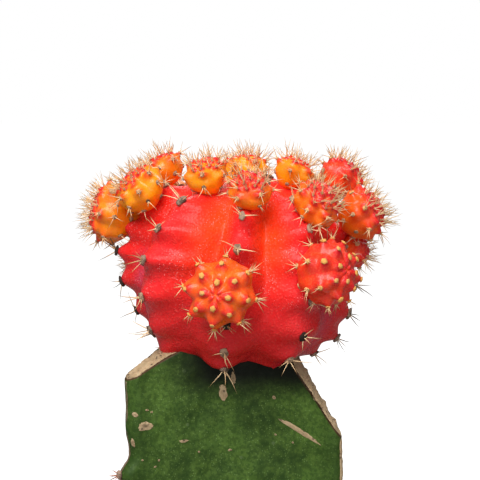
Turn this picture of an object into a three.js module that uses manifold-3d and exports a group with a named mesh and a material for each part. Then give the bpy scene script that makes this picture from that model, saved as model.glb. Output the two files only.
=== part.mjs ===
// A grafted moon cactus in a plain clay pot.
// A red globe of eight ribs, the scion, is grafted on a green three-winged stem, and orange offsets grow
// on its ribs.
// Millimetres, +Z up, origin at the centre of the pot's foot. The side that faces -Y is the front.
import * as THREE from "three";
import { mergeVertices } from "three/addons/utils/BufferGeometryUtils.js";
import Module from "manifold-3d";

const wasm = await Module();
wasm.setup();

// Driving dimensions
const SEAT_GAP = 0.3; // between pieces that touch
const ROUND_SIDES = 32;

const POT = {
  height: 70,
  footRadius: 27,
  rimRadius: 40,
  collarHeight: 18,
  collarStep: 3.2,
  neckInset: 4.8, // from the rim's radius to the wall just below the collar
  wall: 4.6,
  wallTaper: 0.6,
  edgeRound: 1.4,
  floor: 6,
  drainRadius: 5.5,
};

const SOIL = { top: 61, mound: 1.8, grain: 0.55, rings: 6 };

const STEM = {
  bottom: 18,
  graftHeight: 137,
  faceDepth: 8.6, // from the axis to the middle of a face
  buriedShare: 0.84,
  aboveSoil: 2, // how high over the soil the stem starts to widen
  widening: 26, // and over what height it reaches its full size
  layerStep: 4.4,
  // One entry for each wing: its direction in the XY plane, how far it reaches from the axis, the radius of
  // its rounded margin, the bevel that trims its shoulder (radius at the graft, slope and how far it is turned
  // off the wing's own direction), and the depths of its areoles below the graft.
  ribs: [
    {
      azimuth: 210,
      reach: 22.7,
      tipRadius: 2.2,
      bevel: { radius: 11.4, angle: 28, turn: 0 },
      areoles: [22.4, 52],
    },
    {
      azimuth: 330,
      reach: 21.5,
      tipRadius: 1.5,
      bevel: { radius: 9, angle: 55.3, turn: 20 },
      areoles: [33, 60],
    },
    {
      azimuth: 90,
      reach: 22,
      tipRadius: 2,
      bevel: { radius: 11, angle: 40, turn: 0 },
      areoles: [20, 46],
    },
  ],
  areoleBump: 1.1,
  areoleReach: 2.2,
  marginWave: 0.35,
  spineLength: 2.6,
  spineLeans: [
    { side: -0.8, rise: -0.25 },
    { side: 0, rise: 0.7 },
    { side: 0.8, rise: -0.25 },
  ],
};

// A head is a globe of ribs. Its widest circle has the crest radius, and it is rise high above that and drop
// below. The powers say how square its profile is: 1 is an ellipse, and less is fuller. The ribs are ribDepth
// of the radius deep, and ribBase of that near the base.
const SCION = {
  name: "scion",
  radius: 20.8,
  rise: 14.2,
  drop: 19.5,
  topPower: 0.66,
  basePower: 0.6,
  ribs: 8,
  areoles: 8,
  ribDepth: 0.25,
  ribBase: 0.45,
  tubercle: 0.04,
  columns: 4,
  rowsPerAreole: 2,
  widestAboveGraft: 14.2,
  bottomBelowGraft: 4.4,
  // Crest directions in degrees from the front, positive to the right, at the base and at the apex. Then
  // where the valley after it lies on the way to the next crest in the upper half, how full the rib is below
  // the middle, and by what part of a row its areoles are moved up.
  crests: [
    { base: -12, apex: 9, valley: 0.48, full: 1, stagger: 0 },
    { base: 33, apex: 43, valley: 0.5, full: 1.05, stagger: 0.5 },
    { base: 86, apex: 86, valley: 0.5, full: 1.1, stagger: 0 },
    { base: 133, apex: 130, valley: 0.45, full: 1.04, stagger: 0.5 },
    { base: 180, apex: 176, valley: 0.55, full: 1, stagger: 0 },
    { base: 222, apex: 224, valley: 0.5, full: 0.97, stagger: 0.5 },
    { base: 263, apex: 279, valley: 0.5, full: 0.93, stagger: 0.5 },
    { base: 292, apex: 330, valley: 0.74, full: 0.96, stagger: 0.5 },
  ],
  lowestAreole: 0.09,
  spineLength: 3.6,
  spinesPerAreole: 2,
  seed: 11,
};

// What heads share: how the crests are rounded, how the ribs fade towards the poles, over what part of the
// way up the ribs deepen and the valleys turn to their upper places, the highest areoles and the flattening of
// the apex.
const HEAD = {
  roundShare: 0.8,
  poleFade: 0.6,
  ribRise: { from: 0.25, to: 0.6 },
  valleyTurn: { from: 0.15, to: 0.6 },
  highestAreole: 0.97,
  apexShare: 0.97,
};

// Offsets: where each is centred (direction from the front, distance from the axis, height above the graft),
// how far its axis leans from upright, the direction it leans to, and its crest radius.
const OFFSETS = [
  { azimuth: -95, out: 22.9, up: 22.2, lean: 78, to: -92, radius: 5.4 },
  { azimuth: -75, out: 17.7, up: 27.5, lean: 42, to: -80, radius: 4.4 },
  { azimuth: -118, out: 15.2, up: 29.8, lean: 30, to: -118, radius: 3.6 },
  { azimuth: -32, out: 9.8, up: 30.2, lean: 16, to: -25, radius: 3.9 },
  { azimuth: 150, out: 5.2, up: 30.3, lean: 8, to: 120, radius: 3.2 },
  { azimuth: 9, out: 15, up: 28.2, lean: 28, to: 5, radius: 3.7 },
  { azimuth: 92, out: 10.6, up: 29.8, lean: 18, to: 90, radius: 3.6 },
  { azimuth: 99, out: 19.4, up: 28.6, lean: 38, to: 100, radius: 4.2 },
  { azimuth: 48, out: 19, up: 25.6, lean: 46, to: 48, radius: 4.4 },
  { azimuth: 76, out: 23.2, up: 23, lean: 62, to: 78, radius: 4.7 },
  { azimuth: -6, out: 23.6, up: 11.9, lean: 86, to: -12, radius: 5.9 },
  { azimuth: 40, out: 24.2, up: 14.4, lean: 76, to: 52, radius: 5.8 },
  { azimuth: 86, out: 21.8, up: 15.4, lean: 84, to: 88, radius: 2.9 },
  { azimuth: 134, out: 21.4, up: 22.6, lean: 58, to: 136, radius: 4.6 },
  { azimuth: 178, out: 16.4, up: 27.4, lean: 40, to: 178, radius: 4.5 },
  { azimuth: 222, out: 20.8, up: 23.4, lean: 56, to: 222, radius: 4.8 },
  { azimuth: 177, out: 23.8, up: 13, lean: 84, to: 177, radius: 5.4 },
  { azimuth: 228, out: 23.6, up: 11, lean: 88, to: 230, radius: 4.4 },
];

const OFFSET_FORM = {
  rise: 0.72,
  drop: 0.92,
  topPower: 0.85,
  basePower: 1.4,
  ribDepth: 0.12,
  ribBase: 0.2,
  tubercle: 0.075,
  lowestAreole: 0.38, // the flanks below have bare areoles
  spineLength: 2.7,
  spinesPerAreole: 1,
  largeFrom: 4.4,
  large: { ribs: 8, areoles: 5 },
  small: { ribs: 6, areoles: 4 },
  turnStep: 137.5, // degrees between one offset's first rib and the next one's
};

// A needle is sunk in its head, stays clear of other pieces, and leans off the areole's own direction.
const SPINE = {
  rootRadius: 0.36,
  sunk: 0.7,
  clear: 0.28,
  heldShare: 0.6,
  spread: { least: 0.75, more: 0.35 },
  lengths: { least: 0.75, more: 0.4 },
};

const COLOURS = {
  clay: { color: 0xb5623c, roughness: 0.85 },
  soil: { color: 0x3a2a1e, roughness: 1 },
  stem: { color: 0x3f5e26, roughness: 0.55 },
  scion: { color: 0xd92b22, roughness: 0.45 },
  offset: { color: 0xef7a1e, roughness: 0.45 },
};

const radians = THREE.MathUtils.degToRad;
const lerp = THREE.MathUtils.lerp;
const smoothstep = THREE.MathUtils.smoothstep;

// Seeded draw from 0 to 1, the same on every run.
function seeded(seed) {
  let state = seed >>> 0;
  return () => {
    state = (state + 0x6d2b79f5) >>> 0;
    let mixed = Math.imul(state ^ (state >>> 15), state | 1);
    mixed ^= mixed + Math.imul(mixed ^ (mixed >>> 7), mixed | 61);
    return ((mixed ^ (mixed >>> 14)) >>> 0) / 4294967296;
  };
}

// The point at a distance from the upright axis, azimuth 0 to the front and 90 to the right.
function fromAxis(azimuth, out, up) {
  const angle = radians(azimuth);
  return new THREE.Vector3(out * Math.sin(angle), -out * Math.cos(angle), up);
}

function solidOf(geometry) {
  const bare = geometry.clone();
  bare.deleteAttribute("normal");
  bare.deleteAttribute("uv");
  const merged = mergeVertices(bare, 1e-4);
  const mesh = new wasm.Mesh({
    numProp: 3,
    vertProperties: merged.attributes.position.array,
    triVerts: new Uint32Array(merged.index.array),
  });
  return new wasm.Manifold(mesh);
}

function geometryOf(solid) {
  const mesh = solid.getMesh();
  const geometry = new THREE.BufferGeometry();
  geometry.setAttribute("position", new THREE.BufferAttribute(new Float32Array(mesh.vertProperties), 3));
  geometry.setIndex(new THREE.BufferAttribute(new Uint32Array(mesh.triVerts), 1));
  return geometry;
}

// A closed skin through rings of points, each ring anticlockwise seen from above and the first one lowest.
// It is capped at both ends by a point.
function skin(rings, lowPoint, highPoint) {
  const count = rings[0].length;
  const points = [...rings.flat(), lowPoint, highPoint];
  const low = rings.length * count;
  const high = low + 1;
  const faces = [];
  for (let side = 0; side < count; side++) {
    const next = (side + 1) % count;
    faces.push(low, next, side);
    for (let ring = 0; ring + 1 < rings.length; ring++) {
      const here = ring * count;
      const above = here + count;
      faces.push(here + side, here + next, above + next);
      faces.push(here + side, above + next, above + side);
    }
    const last = (rings.length - 1) * count;
    faces.push(last + side, last + next, high);
  }
  const geometry = new THREE.BufferGeometry().setFromPoints(points);
  geometry.setIndex(faces);
  return geometry;
}

// The pot and its soil

const innerRadius = (z) => {
  const share = (z - POT.floor) / (POT.height - POT.floor);
  const atFloor = POT.footRadius - POT.wall + POT.wallTaper;
  const atRim = POT.rimRadius - POT.wall - POT.wallTaper;
  return lerp(atFloor, atRim, share);
};

function potGeometry() {
  const collarBottom = POT.height - POT.collarHeight;
  const neckRadius = POT.rimRadius - POT.neckInset;
  const profile = [
    [POT.drainRadius, 0],
    [POT.footRadius - 1, 0],
    [POT.footRadius, 1],
    [neckRadius, collarBottom],
    [neckRadius + POT.collarStep, collarBottom + 1],
    [POT.rimRadius, POT.height - POT.edgeRound],
    [POT.rimRadius - POT.edgeRound, POT.height],
    [innerRadius(POT.height) + 1, POT.height],
    [innerRadius(POT.height), POT.height - 1],
    [innerRadius(POT.floor), POT.floor],
    [POT.drainRadius, POT.floor],
    [POT.drainRadius, 0],
  ];
  const points = profile.map(([radius, z]) => new THREE.Vector2(radius, z));
  return new THREE.LatheGeometry(points, ROUND_SIDES).rotateX(Math.PI / 2);
}

// The outline of the stem: three rounded wing tips joined by hollow faces.
function stemOutline(share, gap) {
  const tipPoints = 5;
  const facePoints = 6;
  const tipTurn = radians(72);
  const tips = STEM.ribs.map(({ azimuth, reach, tipRadius }) => {
    const direction = radians(azimuth);
    const centre = reach - tipRadius;
    const radius = tipRadius + gap / share;
    return Array.from({ length: tipPoints }, (_, step) => {
      const turn = direction + lerp(-tipTurn, tipTurn, step / (tipPoints - 1));
      return new THREE.Vector2(
        centre * Math.cos(direction) + radius * Math.cos(turn),
        centre * Math.sin(direction) + radius * Math.sin(turn),
      );
    });
  });
  const outline = [];
  tips.forEach((tip, index) => {
    outline.push(...tip);
    const start = tip[tipPoints - 1];
    const end = tips[(index + 1) % tips.length][0];
    const middle = start.clone().add(end).multiplyScalar(0.5);
    const bend = middle.clone().setLength(2 * (STEM.faceDepth + gap / share) - middle.length());
    const face = new THREE.QuadraticBezierCurve(start, bend, end).getPoints(facePoints);
    outline.push(...face.slice(1, -1));
  });
  return outline.map((point) => point.multiplyScalar(share));
}

// How far the wing margins swell outwards at a height: a bump at each areole on a slow wave.
function marginSwell(direction, z) {
  const below = STEM.graftHeight - z;
  const wing = STEM.ribs.find(({ azimuth }) => Math.cos(direction - radians(azimuth)) > 0.9);
  if (!wing) return 0;
  const bumps = wing.areoles.map((depth) => Math.exp(-(((below - depth) / STEM.areoleReach) ** 2)));
  const swell = STEM.areoleBump * bumps.reduce((sum, bump) => sum + bump, 0);
  return swell + STEM.marginWave * Math.sin(below * 0.19 + wing.azimuth);
}

const buriedTop = SOIL.top + SOIL.mound + STEM.aboveSoil;

// The stem is slimmer where it is buried, and full from a little above the soil.
function stemShare(z) {
  return lerp(STEM.buriedShare, 1, smoothstep(z, buriedTop, buriedTop + STEM.widening));
}

function stemSolid(gap) {
  const bottom = STEM.bottom - gap;
  const top = STEM.graftHeight + gap;
  const layers = Math.round((top - buriedTop) / STEM.layerStep);
  const heights = [bottom, bottom + 8, buriedTop];
  for (let layer = 1; layer <= layers; layer++) heights.push(lerp(buriedTop, top, layer / layers));
  const rings = heights.map((z) => {
    const share = stemShare(z) * (z === bottom ? 0.8 : 1);
    return stemOutline(share, gap).map((point) => {
      const direction = Math.atan2(point.y, point.x);
      const margin = smoothstep(point.length(), 16, 22);
      point.setLength(point.length() + (z > buriedTop ? margin * marginSwell(direction, z) : 0));
      return new THREE.Vector3(point.x, point.y, z);
    });
  });
  let solid = solidOf(skin(rings, new THREE.Vector3(0, 0, bottom), new THREE.Vector3(0, 0, top)));
  STEM.ribs.forEach(({ azimuth, bevel }) => {
    solid = solid.subtract(bevelCutter(azimuth + bevel.turn, bevel, gap));
  });
  return solid;
}

// The block above a plane that slopes down and outwards over one wing's shoulder.
function bevelCutter(azimuth, { radius, angle }, gap) {
  const size = 60;
  const block = new THREE.BoxGeometry(size, size, size).translate(0, 0, size / 2 + gap);
  block.rotateY(radians(angle));
  block.translate(radius, 0, STEM.graftHeight);
  block.rotateZ(radians(azimuth));
  return solidOf(block);
}

function soilSolid() {
  const rim = (z) => innerRadius(z) - SEAT_GAP;
  const bottom = POT.floor + SEAT_GAP;
  const ringAt = (radius, height) =>
    Array.from({ length: ROUND_SIDES }, (_, side) => {
      const turn = (2 * Math.PI * side) / ROUND_SIDES;
      return new THREE.Vector3(radius * Math.cos(turn), radius * Math.sin(turn), height(radius, turn));
    });
  const surface = (radius, turn) => {
    const mound = SOIL.mound * (1 - (radius / rim(SOIL.top)) ** 2);
    const coarse = Math.sin(5 * turn + 0.9 * radius) * Math.cos(0.7 * radius - 3 * turn);
    const fine = 0.7 * Math.sin(11 * turn - 0.5 * radius);
    return SOIL.top + mound + SOIL.grain * (coarse + fine);
  };
  const rings = [ringAt(rim(bottom), () => bottom), ringAt(rim(SOIL.top - 1), () => SOIL.top - 1)];
  for (let ring = SOIL.rings; ring > 0; ring--) {
    const radius = (rim(SOIL.top - 1) * (ring - 0.02)) / SOIL.rings;
    rings.push(ringAt(radius, surface));
  }
  const body = solidOf(skin(rings, new THREE.Vector3(0, 0, bottom), new THREE.Vector3(0, 0, surface(0, 0))));
  const outline = stemOutline(STEM.buriedShare, SEAT_GAP);
  const hole = new THREE.ExtrudeGeometry(new THREE.Shape(outline), { depth: POT.height, bevelEnabled: false });
  return body.subtract(solidOf(hole.translate(0, 0, STEM.bottom - SEAT_GAP)));
}

// The scion and the offsets

// Azimuth in degrees of a place round a head, where a whole number is a rib's crest.
function crestAzimuth(head, around, along) {
  const index = Math.floor(around);
  const crestAt = (rib) => {
    const crest = head.crests[rib % head.ribs];
    return lerp(crest.base, crest.apex, along) + 360 * Math.floor(rib / head.ribs);
  };
  return lerp(crestAt(index), crestAt(index + 1), around - index);
}

// Where the valley after a rib lies on the way to the next: halfway at the base, and as given higher up.
function valleyAt(head, rib, along) {
  return lerp(0.5, head.crests[rib].valley, smoothstep(along, HEAD.valleyTurn.from, HEAD.valleyTurn.to));
}

// 1 on a crest and 0 in the valley beside it.
function crestShare(head, around, along) {
  const index = Math.floor(around);
  const part = around - index;
  const valley = valleyAt(head, index, along);
  return part < valley ? 1 - part / valley : (part - valley) / (1 - valley);
}

// How much fuller than 1 a head is below its widest circle, between the values of the two nearest ribs.
function fullness(head, around, polar) {
  if (Math.cos(polar) > 0) return 1;
  const index = Math.floor(around);
  const full = lerp(head.crests[index].full, head.crests[(index + 1) % head.ribs].full, around - index);
  return lerp(1, full, Math.sin(2 * polar) ** 2);
}

// A point of a head's skin in its own frame: along runs from 0 at the base to 1 at the apex.
// The globe is pulled in between the crests, and swells at each areole. Most stand in alternate rows.
function headPoint(head, around, along, grow) {
  const polar = Math.PI * (1 - along);
  const above = Math.cos(polar) > 0;
  const reach = Math.sin(polar) ** (above ? head.topPower : head.basePower) * fullness(head, around, polar);
  const share = crestShare(head, around, along);
  const rounded = lerp(share, Math.sin((share * Math.PI) / 2), HEAD.roundShare);
  const risen = smoothstep(along, HEAD.ribRise.from, HEAD.ribRise.to);
  const fade = Math.sin(polar) ** HEAD.poleFade * lerp(head.ribBase, 1, risen);
  const { stagger } = head.crests[Math.round(around) % head.ribs];
  const swell = Math.cos(2 * Math.PI * (head.areoles * along + stagger));
  const factor = 1 - head.ribDepth * (1 - rounded) * fade + head.tubercle * swell * share * share * fade;
  const point = fromAxis(crestAzimuth(head, around, along), head.radius * reach * factor, 0);
  point.z = Math.cos(polar) * (above ? head.rise : head.drop) * factor;
  return point.setLength(point.length() + grow);
}

// The columns round a head fall on crests, valleys and evenly between them.
function columnsOf(head, along) {
  const columns = [];
  const half = head.columns / 2;
  for (let rib = 0; rib < head.ribs; rib++) {
    const valley = valleyAt(head, rib, along);
    for (let step = 0; step < half; step++) columns.push(rib + (valley * step) / half);
    for (let step = 0; step < half; step++) columns.push(rib + valley + ((1 - valley) * step) / half);
  }
  return columns;
}

function headBody(head, grow) {
  const rows = head.areoles * head.rowsPerAreole;
  const rings = [];
  for (let row = 1; row < rows; row++) {
    const along = row / rows;
    rings.push(columnsOf(head, along).map((around) => headPoint(head, around, along, grow)));
  }
  const low = new THREE.Vector3(0, 0, -head.drop - grow);
  const high = new THREE.Vector3(0, 0, head.rise * HEAD.apexShare + grow);
  return solidOf(skin(rings, low, high).applyMatrix4(head.place));
}

// Places round and along a head where an areole sits, on the crests at the swellings.
function areolePlaces(head) {
  const places = [];
  for (let rib = 0; rib < head.ribs; rib++) {
    for (let step = 0; step < head.areoles; step++) {
      const along = (step + head.crests[rib].stagger) / head.areoles;
      if (along > head.lowestAreole && along < HEAD.highestAreole) places.push({ around: rib, along });
    }
  }
  return places;
}

// A three-sided needle from under the skin to its tip.
function needle(root, tip, radius) {
  const length = root.distanceTo(tip);
  const cone = new THREE.ConeGeometry(radius, length, 3, 1).translate(0, length / 2, 0);
  const direction = tip.clone().sub(root).normalize();
  const turn = new THREE.Quaternion().setFromUnitVectors(new THREE.Vector3(0, 1, 0), direction);
  return solidOf(cone.applyQuaternion(turn).translate(root.x, root.y, root.z));
}

// Joins needles to a body where their roots are well in it and they stay clear of every other piece.
function withNeedles(body, needles, others) {
  let joined = body;
  needles.forEach(({ skinPoint, direction, length }) => {
    const root = skinPoint.clone().addScaledVector(direction, -SPINE.sunk);
    const tip = skinPoint.clone().addScaledVector(direction, length);
    const peg = needle(root, skinPoint, SPINE.rootRadius);
    if (body.intersect(peg).volume() < SPINE.heldShare * peg.volume()) return;
    const guardTip = tip.clone().addScaledVector(direction, SPINE.clear);
    const guard = needle(skinPoint, guardTip, SPINE.rootRadius + SPINE.clear);
    if (others.some((other) => !other.intersect(guard).isEmpty())) return;
    joined = joined.add(needle(root, tip, SPINE.rootRadius));
  });
  return joined;
}

// The needles of a head: each areole sends some out, which lean away from each other round its own direction.
function headNeedles(head) {
  const draw = seeded(head.seed);
  const centre = new THREE.Vector3().applyMatrix4(head.place);
  const needles = [];
  areolePlaces(head).forEach(({ around, along }) => {
    const skinPoint = headPoint(head, around, along, 0).applyMatrix4(head.place);
    const outwards = skinPoint.clone().sub(centre).normalize();
    const side = new THREE.Vector3(0, 0, 1).cross(outwards).normalize();
    const upSide = outwards.clone().cross(side);
    const first = draw() * 2 * Math.PI;
    for (let spine = 0; spine < head.spinesPerAreole; spine++) {
      const turn = first + (2 * Math.PI * spine) / head.spinesPerAreole + 0.5 * draw();
      const spread = SPINE.spread.least + SPINE.spread.more * draw();
      const direction = outwards
        .clone()
        .addScaledVector(side, spread * Math.cos(turn))
        .addScaledVector(upSide, spread * Math.sin(turn))
        .normalize();
      const length = head.spineLength * (SPINE.lengths.least + SPINE.lengths.more * draw());
      needles.push({ skinPoint, direction, length });
    }
  });
  return needles;
}

function stemNeedles() {
  const needles = [];
  STEM.ribs.forEach(({ azimuth, reach, areoles }) => {
    const outwards = new THREE.Vector3(Math.cos(radians(azimuth)), Math.sin(radians(azimuth)), 0);
    const sideways = new THREE.Vector3(-outwards.y, outwards.x, 0);
    areoles.forEach((depth) => {
      const z = STEM.graftHeight - depth;
      const out = reach * stemShare(z) + 0.4 * STEM.areoleBump;
      const skinPoint = outwards.clone().multiplyScalar(out).setZ(z);
      STEM.spineLeans.forEach(({ side, rise }) => {
        const direction = outwards.clone().addScaledVector(sideways, side).setZ(rise).normalize();
        needles.push({ skinPoint, direction, length: STEM.spineLength });
      });
    });
  });
  return needles;
}

function scionHead() {
  const place = new THREE.Matrix4().makeTranslation(0, 0, STEM.graftHeight + SCION.widestAboveGraft);
  return { ...SCION, place };
}

function offsetHead(offset, index) {
  const { ribs, areoles } = offset.radius < OFFSET_FORM.largeFrom ? OFFSET_FORM.small : OFFSET_FORM.large;
  const turn = (index * OFFSET_FORM.turnStep) % 360;
  const crests = Array.from({ length: ribs }, (_, rib) => {
    const azimuth = turn + (360 * rib) / ribs;
    return { base: azimuth, apex: azimuth, valley: 0.5, full: 1, stagger: rib % 2 ? 0.5 : 0 };
  });
  const axis = fromAxis(offset.to, Math.sin(radians(offset.lean)), Math.cos(radians(offset.lean)));
  const centre = fromAxis(offset.azimuth, offset.out, STEM.graftHeight + offset.up);
  const turned = new THREE.Quaternion().setFromUnitVectors(new THREE.Vector3(0, 0, 1), axis);
  return {
    ...OFFSET_FORM,
    name: `offset_${String(index + 1).padStart(2, "0")}`,
    radius: offset.radius,
    rise: offset.radius * OFFSET_FORM.rise,
    drop: offset.radius * OFFSET_FORM.drop,
    ribs,
    crests,
    areoles,
    columns: 2,
    rowsPerAreole: 2,
    seed: 100 + index,
    place: new THREE.Matrix4().compose(centre, turned, new THREE.Vector3(1, 1, 1)),
  };
}

// Assembly

const scion = scionHead();
const offsets = OFFSETS.map(offsetHead);

// Grown by this much, a head's facets stay a seat gap clear of the same head as it is.
const GUARD = 1.4 * SEAT_GAP;

const stemBody = stemSolid(0);
const scionBottom = STEM.graftHeight - SCION.bottomBelowGraft;
const belowScion = new THREE.BoxGeometry(80, 80, 40).translate(0, 0, scionBottom - 20);
const scionBody = headBody(scion, 0).subtract(solidOf(belowScion)).subtract(stemSolid(SEAT_GAP));
const scionGuard = headBody(scion, GUARD);

// Each offset is pressed against the scion and against the offsets made before it, with a seat gap left.
const offsetBodies = [];
const offsetGuards = [];
offsets.forEach((head) => {
  let body = headBody(head, 0).subtract(scionGuard);
  offsetGuards.forEach((guard) => {
    body = body.subtract(guard);
  });
  offsetBodies.push(body);
  offsetGuards.push(headBody(head, GUARD));
});

const pieces = [
  { name: "rootstock", body: stemBody, needles: stemNeedles(), look: COLOURS.stem },
  { name: "scion", body: scionBody, needles: headNeedles(scion), look: COLOURS.scion },
  ...offsets.map((head, index) => ({
    name: head.name,
    body: offsetBodies[index],
    needles: headNeedles(head),
    look: COLOURS.offset,
  })),
];

const solids = pieces.map(({ body }) => body);
pieces.forEach(({ needles }, index) => {
  const others = solids.filter((_, other) => other !== index);
  solids[index] = withNeedles(solids[index], needles, others);
});

const cactus = new THREE.Group();

function place(name, geometry, look) {
  const mesh = new THREE.Mesh(geometry, new THREE.MeshStandardMaterial({ ...look, metalness: 0 }));
  mesh.name = name;
  cactus.add(mesh);
}

place("pot", potGeometry(), COLOURS.clay);
place("soil", geometryOf(soilSolid()), COLOURS.soil);
pieces.forEach(({ name, look }, index) => place(name, geometryOf(solids[index]), look));

export default cactus;
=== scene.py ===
import math
import bpy
import numpy as np
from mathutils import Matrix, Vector


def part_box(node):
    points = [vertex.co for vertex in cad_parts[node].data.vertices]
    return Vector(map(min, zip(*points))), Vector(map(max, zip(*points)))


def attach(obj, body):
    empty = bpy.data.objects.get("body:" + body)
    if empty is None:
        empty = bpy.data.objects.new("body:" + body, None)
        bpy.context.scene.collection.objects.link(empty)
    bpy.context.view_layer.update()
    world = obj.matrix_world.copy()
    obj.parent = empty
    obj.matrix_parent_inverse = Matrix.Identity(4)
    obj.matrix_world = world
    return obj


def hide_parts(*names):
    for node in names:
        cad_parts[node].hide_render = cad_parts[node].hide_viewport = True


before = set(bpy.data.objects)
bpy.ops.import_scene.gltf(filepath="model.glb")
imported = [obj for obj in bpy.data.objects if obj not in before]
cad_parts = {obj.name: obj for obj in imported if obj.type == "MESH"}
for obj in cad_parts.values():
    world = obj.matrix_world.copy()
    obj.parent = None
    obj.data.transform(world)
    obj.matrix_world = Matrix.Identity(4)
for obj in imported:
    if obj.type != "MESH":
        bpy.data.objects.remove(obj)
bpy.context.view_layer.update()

# Sizes in the settings are millimetres, in the frame of the solids: +Z up and -Y to the front.
metre = 0.001
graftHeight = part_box("rootstock")[1][2] / metre
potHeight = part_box("pot")[1][2] / metre
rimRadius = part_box("pot")[1][0] / metre
print("frame loaded, the graft is at", round(graftHeight, 2), "mm")


# Numbers and arrays

# A little more than a whole turn in radians, for random phases.
phaseRange = 6.3


# The value at a share of the way from low to high.
def lerp(low, high, share):
    return low + (high - low) * share


# Rises from 0 to 1 between low and high with level ends: 3 share squared minus 2 share cubed.
def smooth(value, low, high):
    share = np.clip((value - low) / (high - low), 0, 1)
    return share * share * (3 - 2 * share)


# A Gaussian bell: e to the power of minus the square of offset over width.
def bell(offset, width):
    return np.exp(-(offset / width) ** 2)


# Vectors divided by their own lengths.
def unit(vectors):
    return vectors / np.maximum(np.linalg.norm(vectors, axis=-1, keepdims=True), 1e-12)


# Soft noise round 0: the sum of sine waves in random directions, each 0.7 to 1.4 times size long,
# over the square root of their count.
def waves(points, size, seed, count=12):
    draw = np.random.default_rng(seed)
    directions = unit(draw.normal(size=(count, 3)))
    lengths = size * draw.uniform(0.7, 1.4, count)
    phases = draw.uniform(0, 2 * np.pi, count)
    turns = points @ (2 * np.pi * directions / lengths[:, None]).T + phases
    return np.sin(turns).sum(-1) / math.sqrt(count)


# The height of lumps at points: the noise of each size times its height, added up.
def lumpHeight(points, lumps, seed, count=12):
    return sum(height * waves(points, size, seed, count) for size, height in lumps)


# Even steps round a circle, in radians.
def circleAngles(count):
    return 2 * np.pi * np.arange(count) / count


# The polar angles of a closed skin's rows in even steps, from the low pole to the high one. The
# last row lies a share of a step from the high pole.
def polarRows(rows, share=0.5):
    return (np.pi * (np.arange(rows) + share) / rows)[::-1]


# A point at a distance from the upright axis: azimuth 0 is the front and 90 the right.
def fromAxis(azimuth, out, up):
    angle = np.radians(azimuth)
    return np.stack(np.broadcast_arrays(out * np.sin(angle), -out * np.cos(angle), up), -1)


# The flat direction at an angle in degrees anticlockwise from +X.
def heading(degrees):
    angle = np.radians(degrees)
    return np.stack([np.cos(angle), np.sin(angle)], -1)


# How far along a flat path each of its points lies: the running sum of its steps' lengths.
def pathLengths(path):
    return np.concatenate([[0], np.cumsum(np.linalg.norm(np.diff(path, axis=0), axis=1))])


# The points at distances along a flat path, by straight lines between its own.
def alongPath(path, lengths, distances):
    return np.stack([np.interp(distances, lengths, path[:, axis]) for axis in (0, 1)], -1)


# sRGB values from 0 to 255 as a linear colour.
def tone(red, green, blue):
    values = np.array([red, green, blue]) / 255
    linear = np.where(values < 0.04045, values / 12.92, ((values + 0.055) / 1.055) ** 2.4)
    return (*linear.tolist(), 1.0)


# Meshes

# Faces of a closed skin: rows of points that run anticlockwise seen from above, the first row lowest,
# capped by a low and a high pole that follow the rows in the list of points.
def skinFaces(rows, columns):
    here = np.arange(rows * columns).reshape(rows, columns)
    beside = np.roll(here, -1, axis=1)
    quads = np.stack([here[:-1], beside[:-1], beside[1:], here[1:]], -1).reshape(-1, 4)
    lowPole = np.full(columns, rows * columns)
    lowFan = np.stack([lowPole, beside[0], here[0]], -1)
    highFan = np.stack([here[-1], beside[-1], lowPole + 1], -1)
    return [quads, lowFan, highFan]


# Faces of many closed skins of one size, whose points follow each other.
def repeatedFaces(rows, columns, count):
    first = (rows * columns + 2) * np.arange(count)[:, None, None]
    return [(first + faces).reshape(-1, faces.shape[-1]) for faces in skinFaces(rows, columns)]


# Points and faces of closed skins joined into one mesh. Each skin is its grid of points and its two poles.
def joinedSkins(skins):
    pointSets, faceSets, start = [], [], 0
    for grid, poles in skins:
        faceSets.append([faces + start for faces in skinFaces(*grid.shape[:2])])
        pointSets += [grid.reshape(-1, 3), poles]
        start += grid[..., 0].size + 2
    return np.concatenate(pointSets), [np.concatenate(faces) for faces in zip(*faceSets)]


# Adds an object to the scene.
def newObject(name, data):
    made = bpy.data.objects.new(name, data)
    bpy.context.scene.collection.objects.link(made)
    return made


# Makes one object of the given points (millimetres), faces and values for each point.
def makePiece(name, points, faceSets, values, material, slot):
    mesh = bpy.data.meshes.new(name)
    faces = [face for faceSet in faceSets for face in faceSet.tolist()]
    mesh.from_pydata((points.reshape(-1, 3) * metre).tolist(), [], faces)
    for key, numbers in values.items():
        layer = mesh.attributes.new(key, "FLOAT", "POINT")
        layer.data.foreach_set("value", np.ravel(numbers).astype(np.float32))
    mesh.shade_smooth()
    mesh.materials.append(material)
    mesh.update()
    piece = newObject(name, mesh)
    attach(piece, "root")
    print("made", name, "with", len(mesh.polygons), "faces")
    return piece


# Two directions square to each given one: its cross product with up, or with +X where it points
# up or down itself, and the cross product of the two.
def crossDirections(directions):
    helper = np.where(np.abs(directions[:, 2:]) < 0.9, [0.0, 0.0, 1.0], [1.0, 0.0, 0.0])
    sideways = unit(np.cross(directions, helper))
    return sideways, np.cross(directions, sideways)


# What all spines share: their segments, the power of their taper, how unevenly they stand round an areole,
# how little the middle one leans in degrees, the spread of their lengths and radii, and how deep they root.
spineForm = {
    "segments": 3, "taper": 0.6, "uneven": 0.12, "leastLean": 2, "lengths": (0.62, 1.12),
    "radii": (0.8, 1.15), "rooted": 0.35,
}


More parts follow.
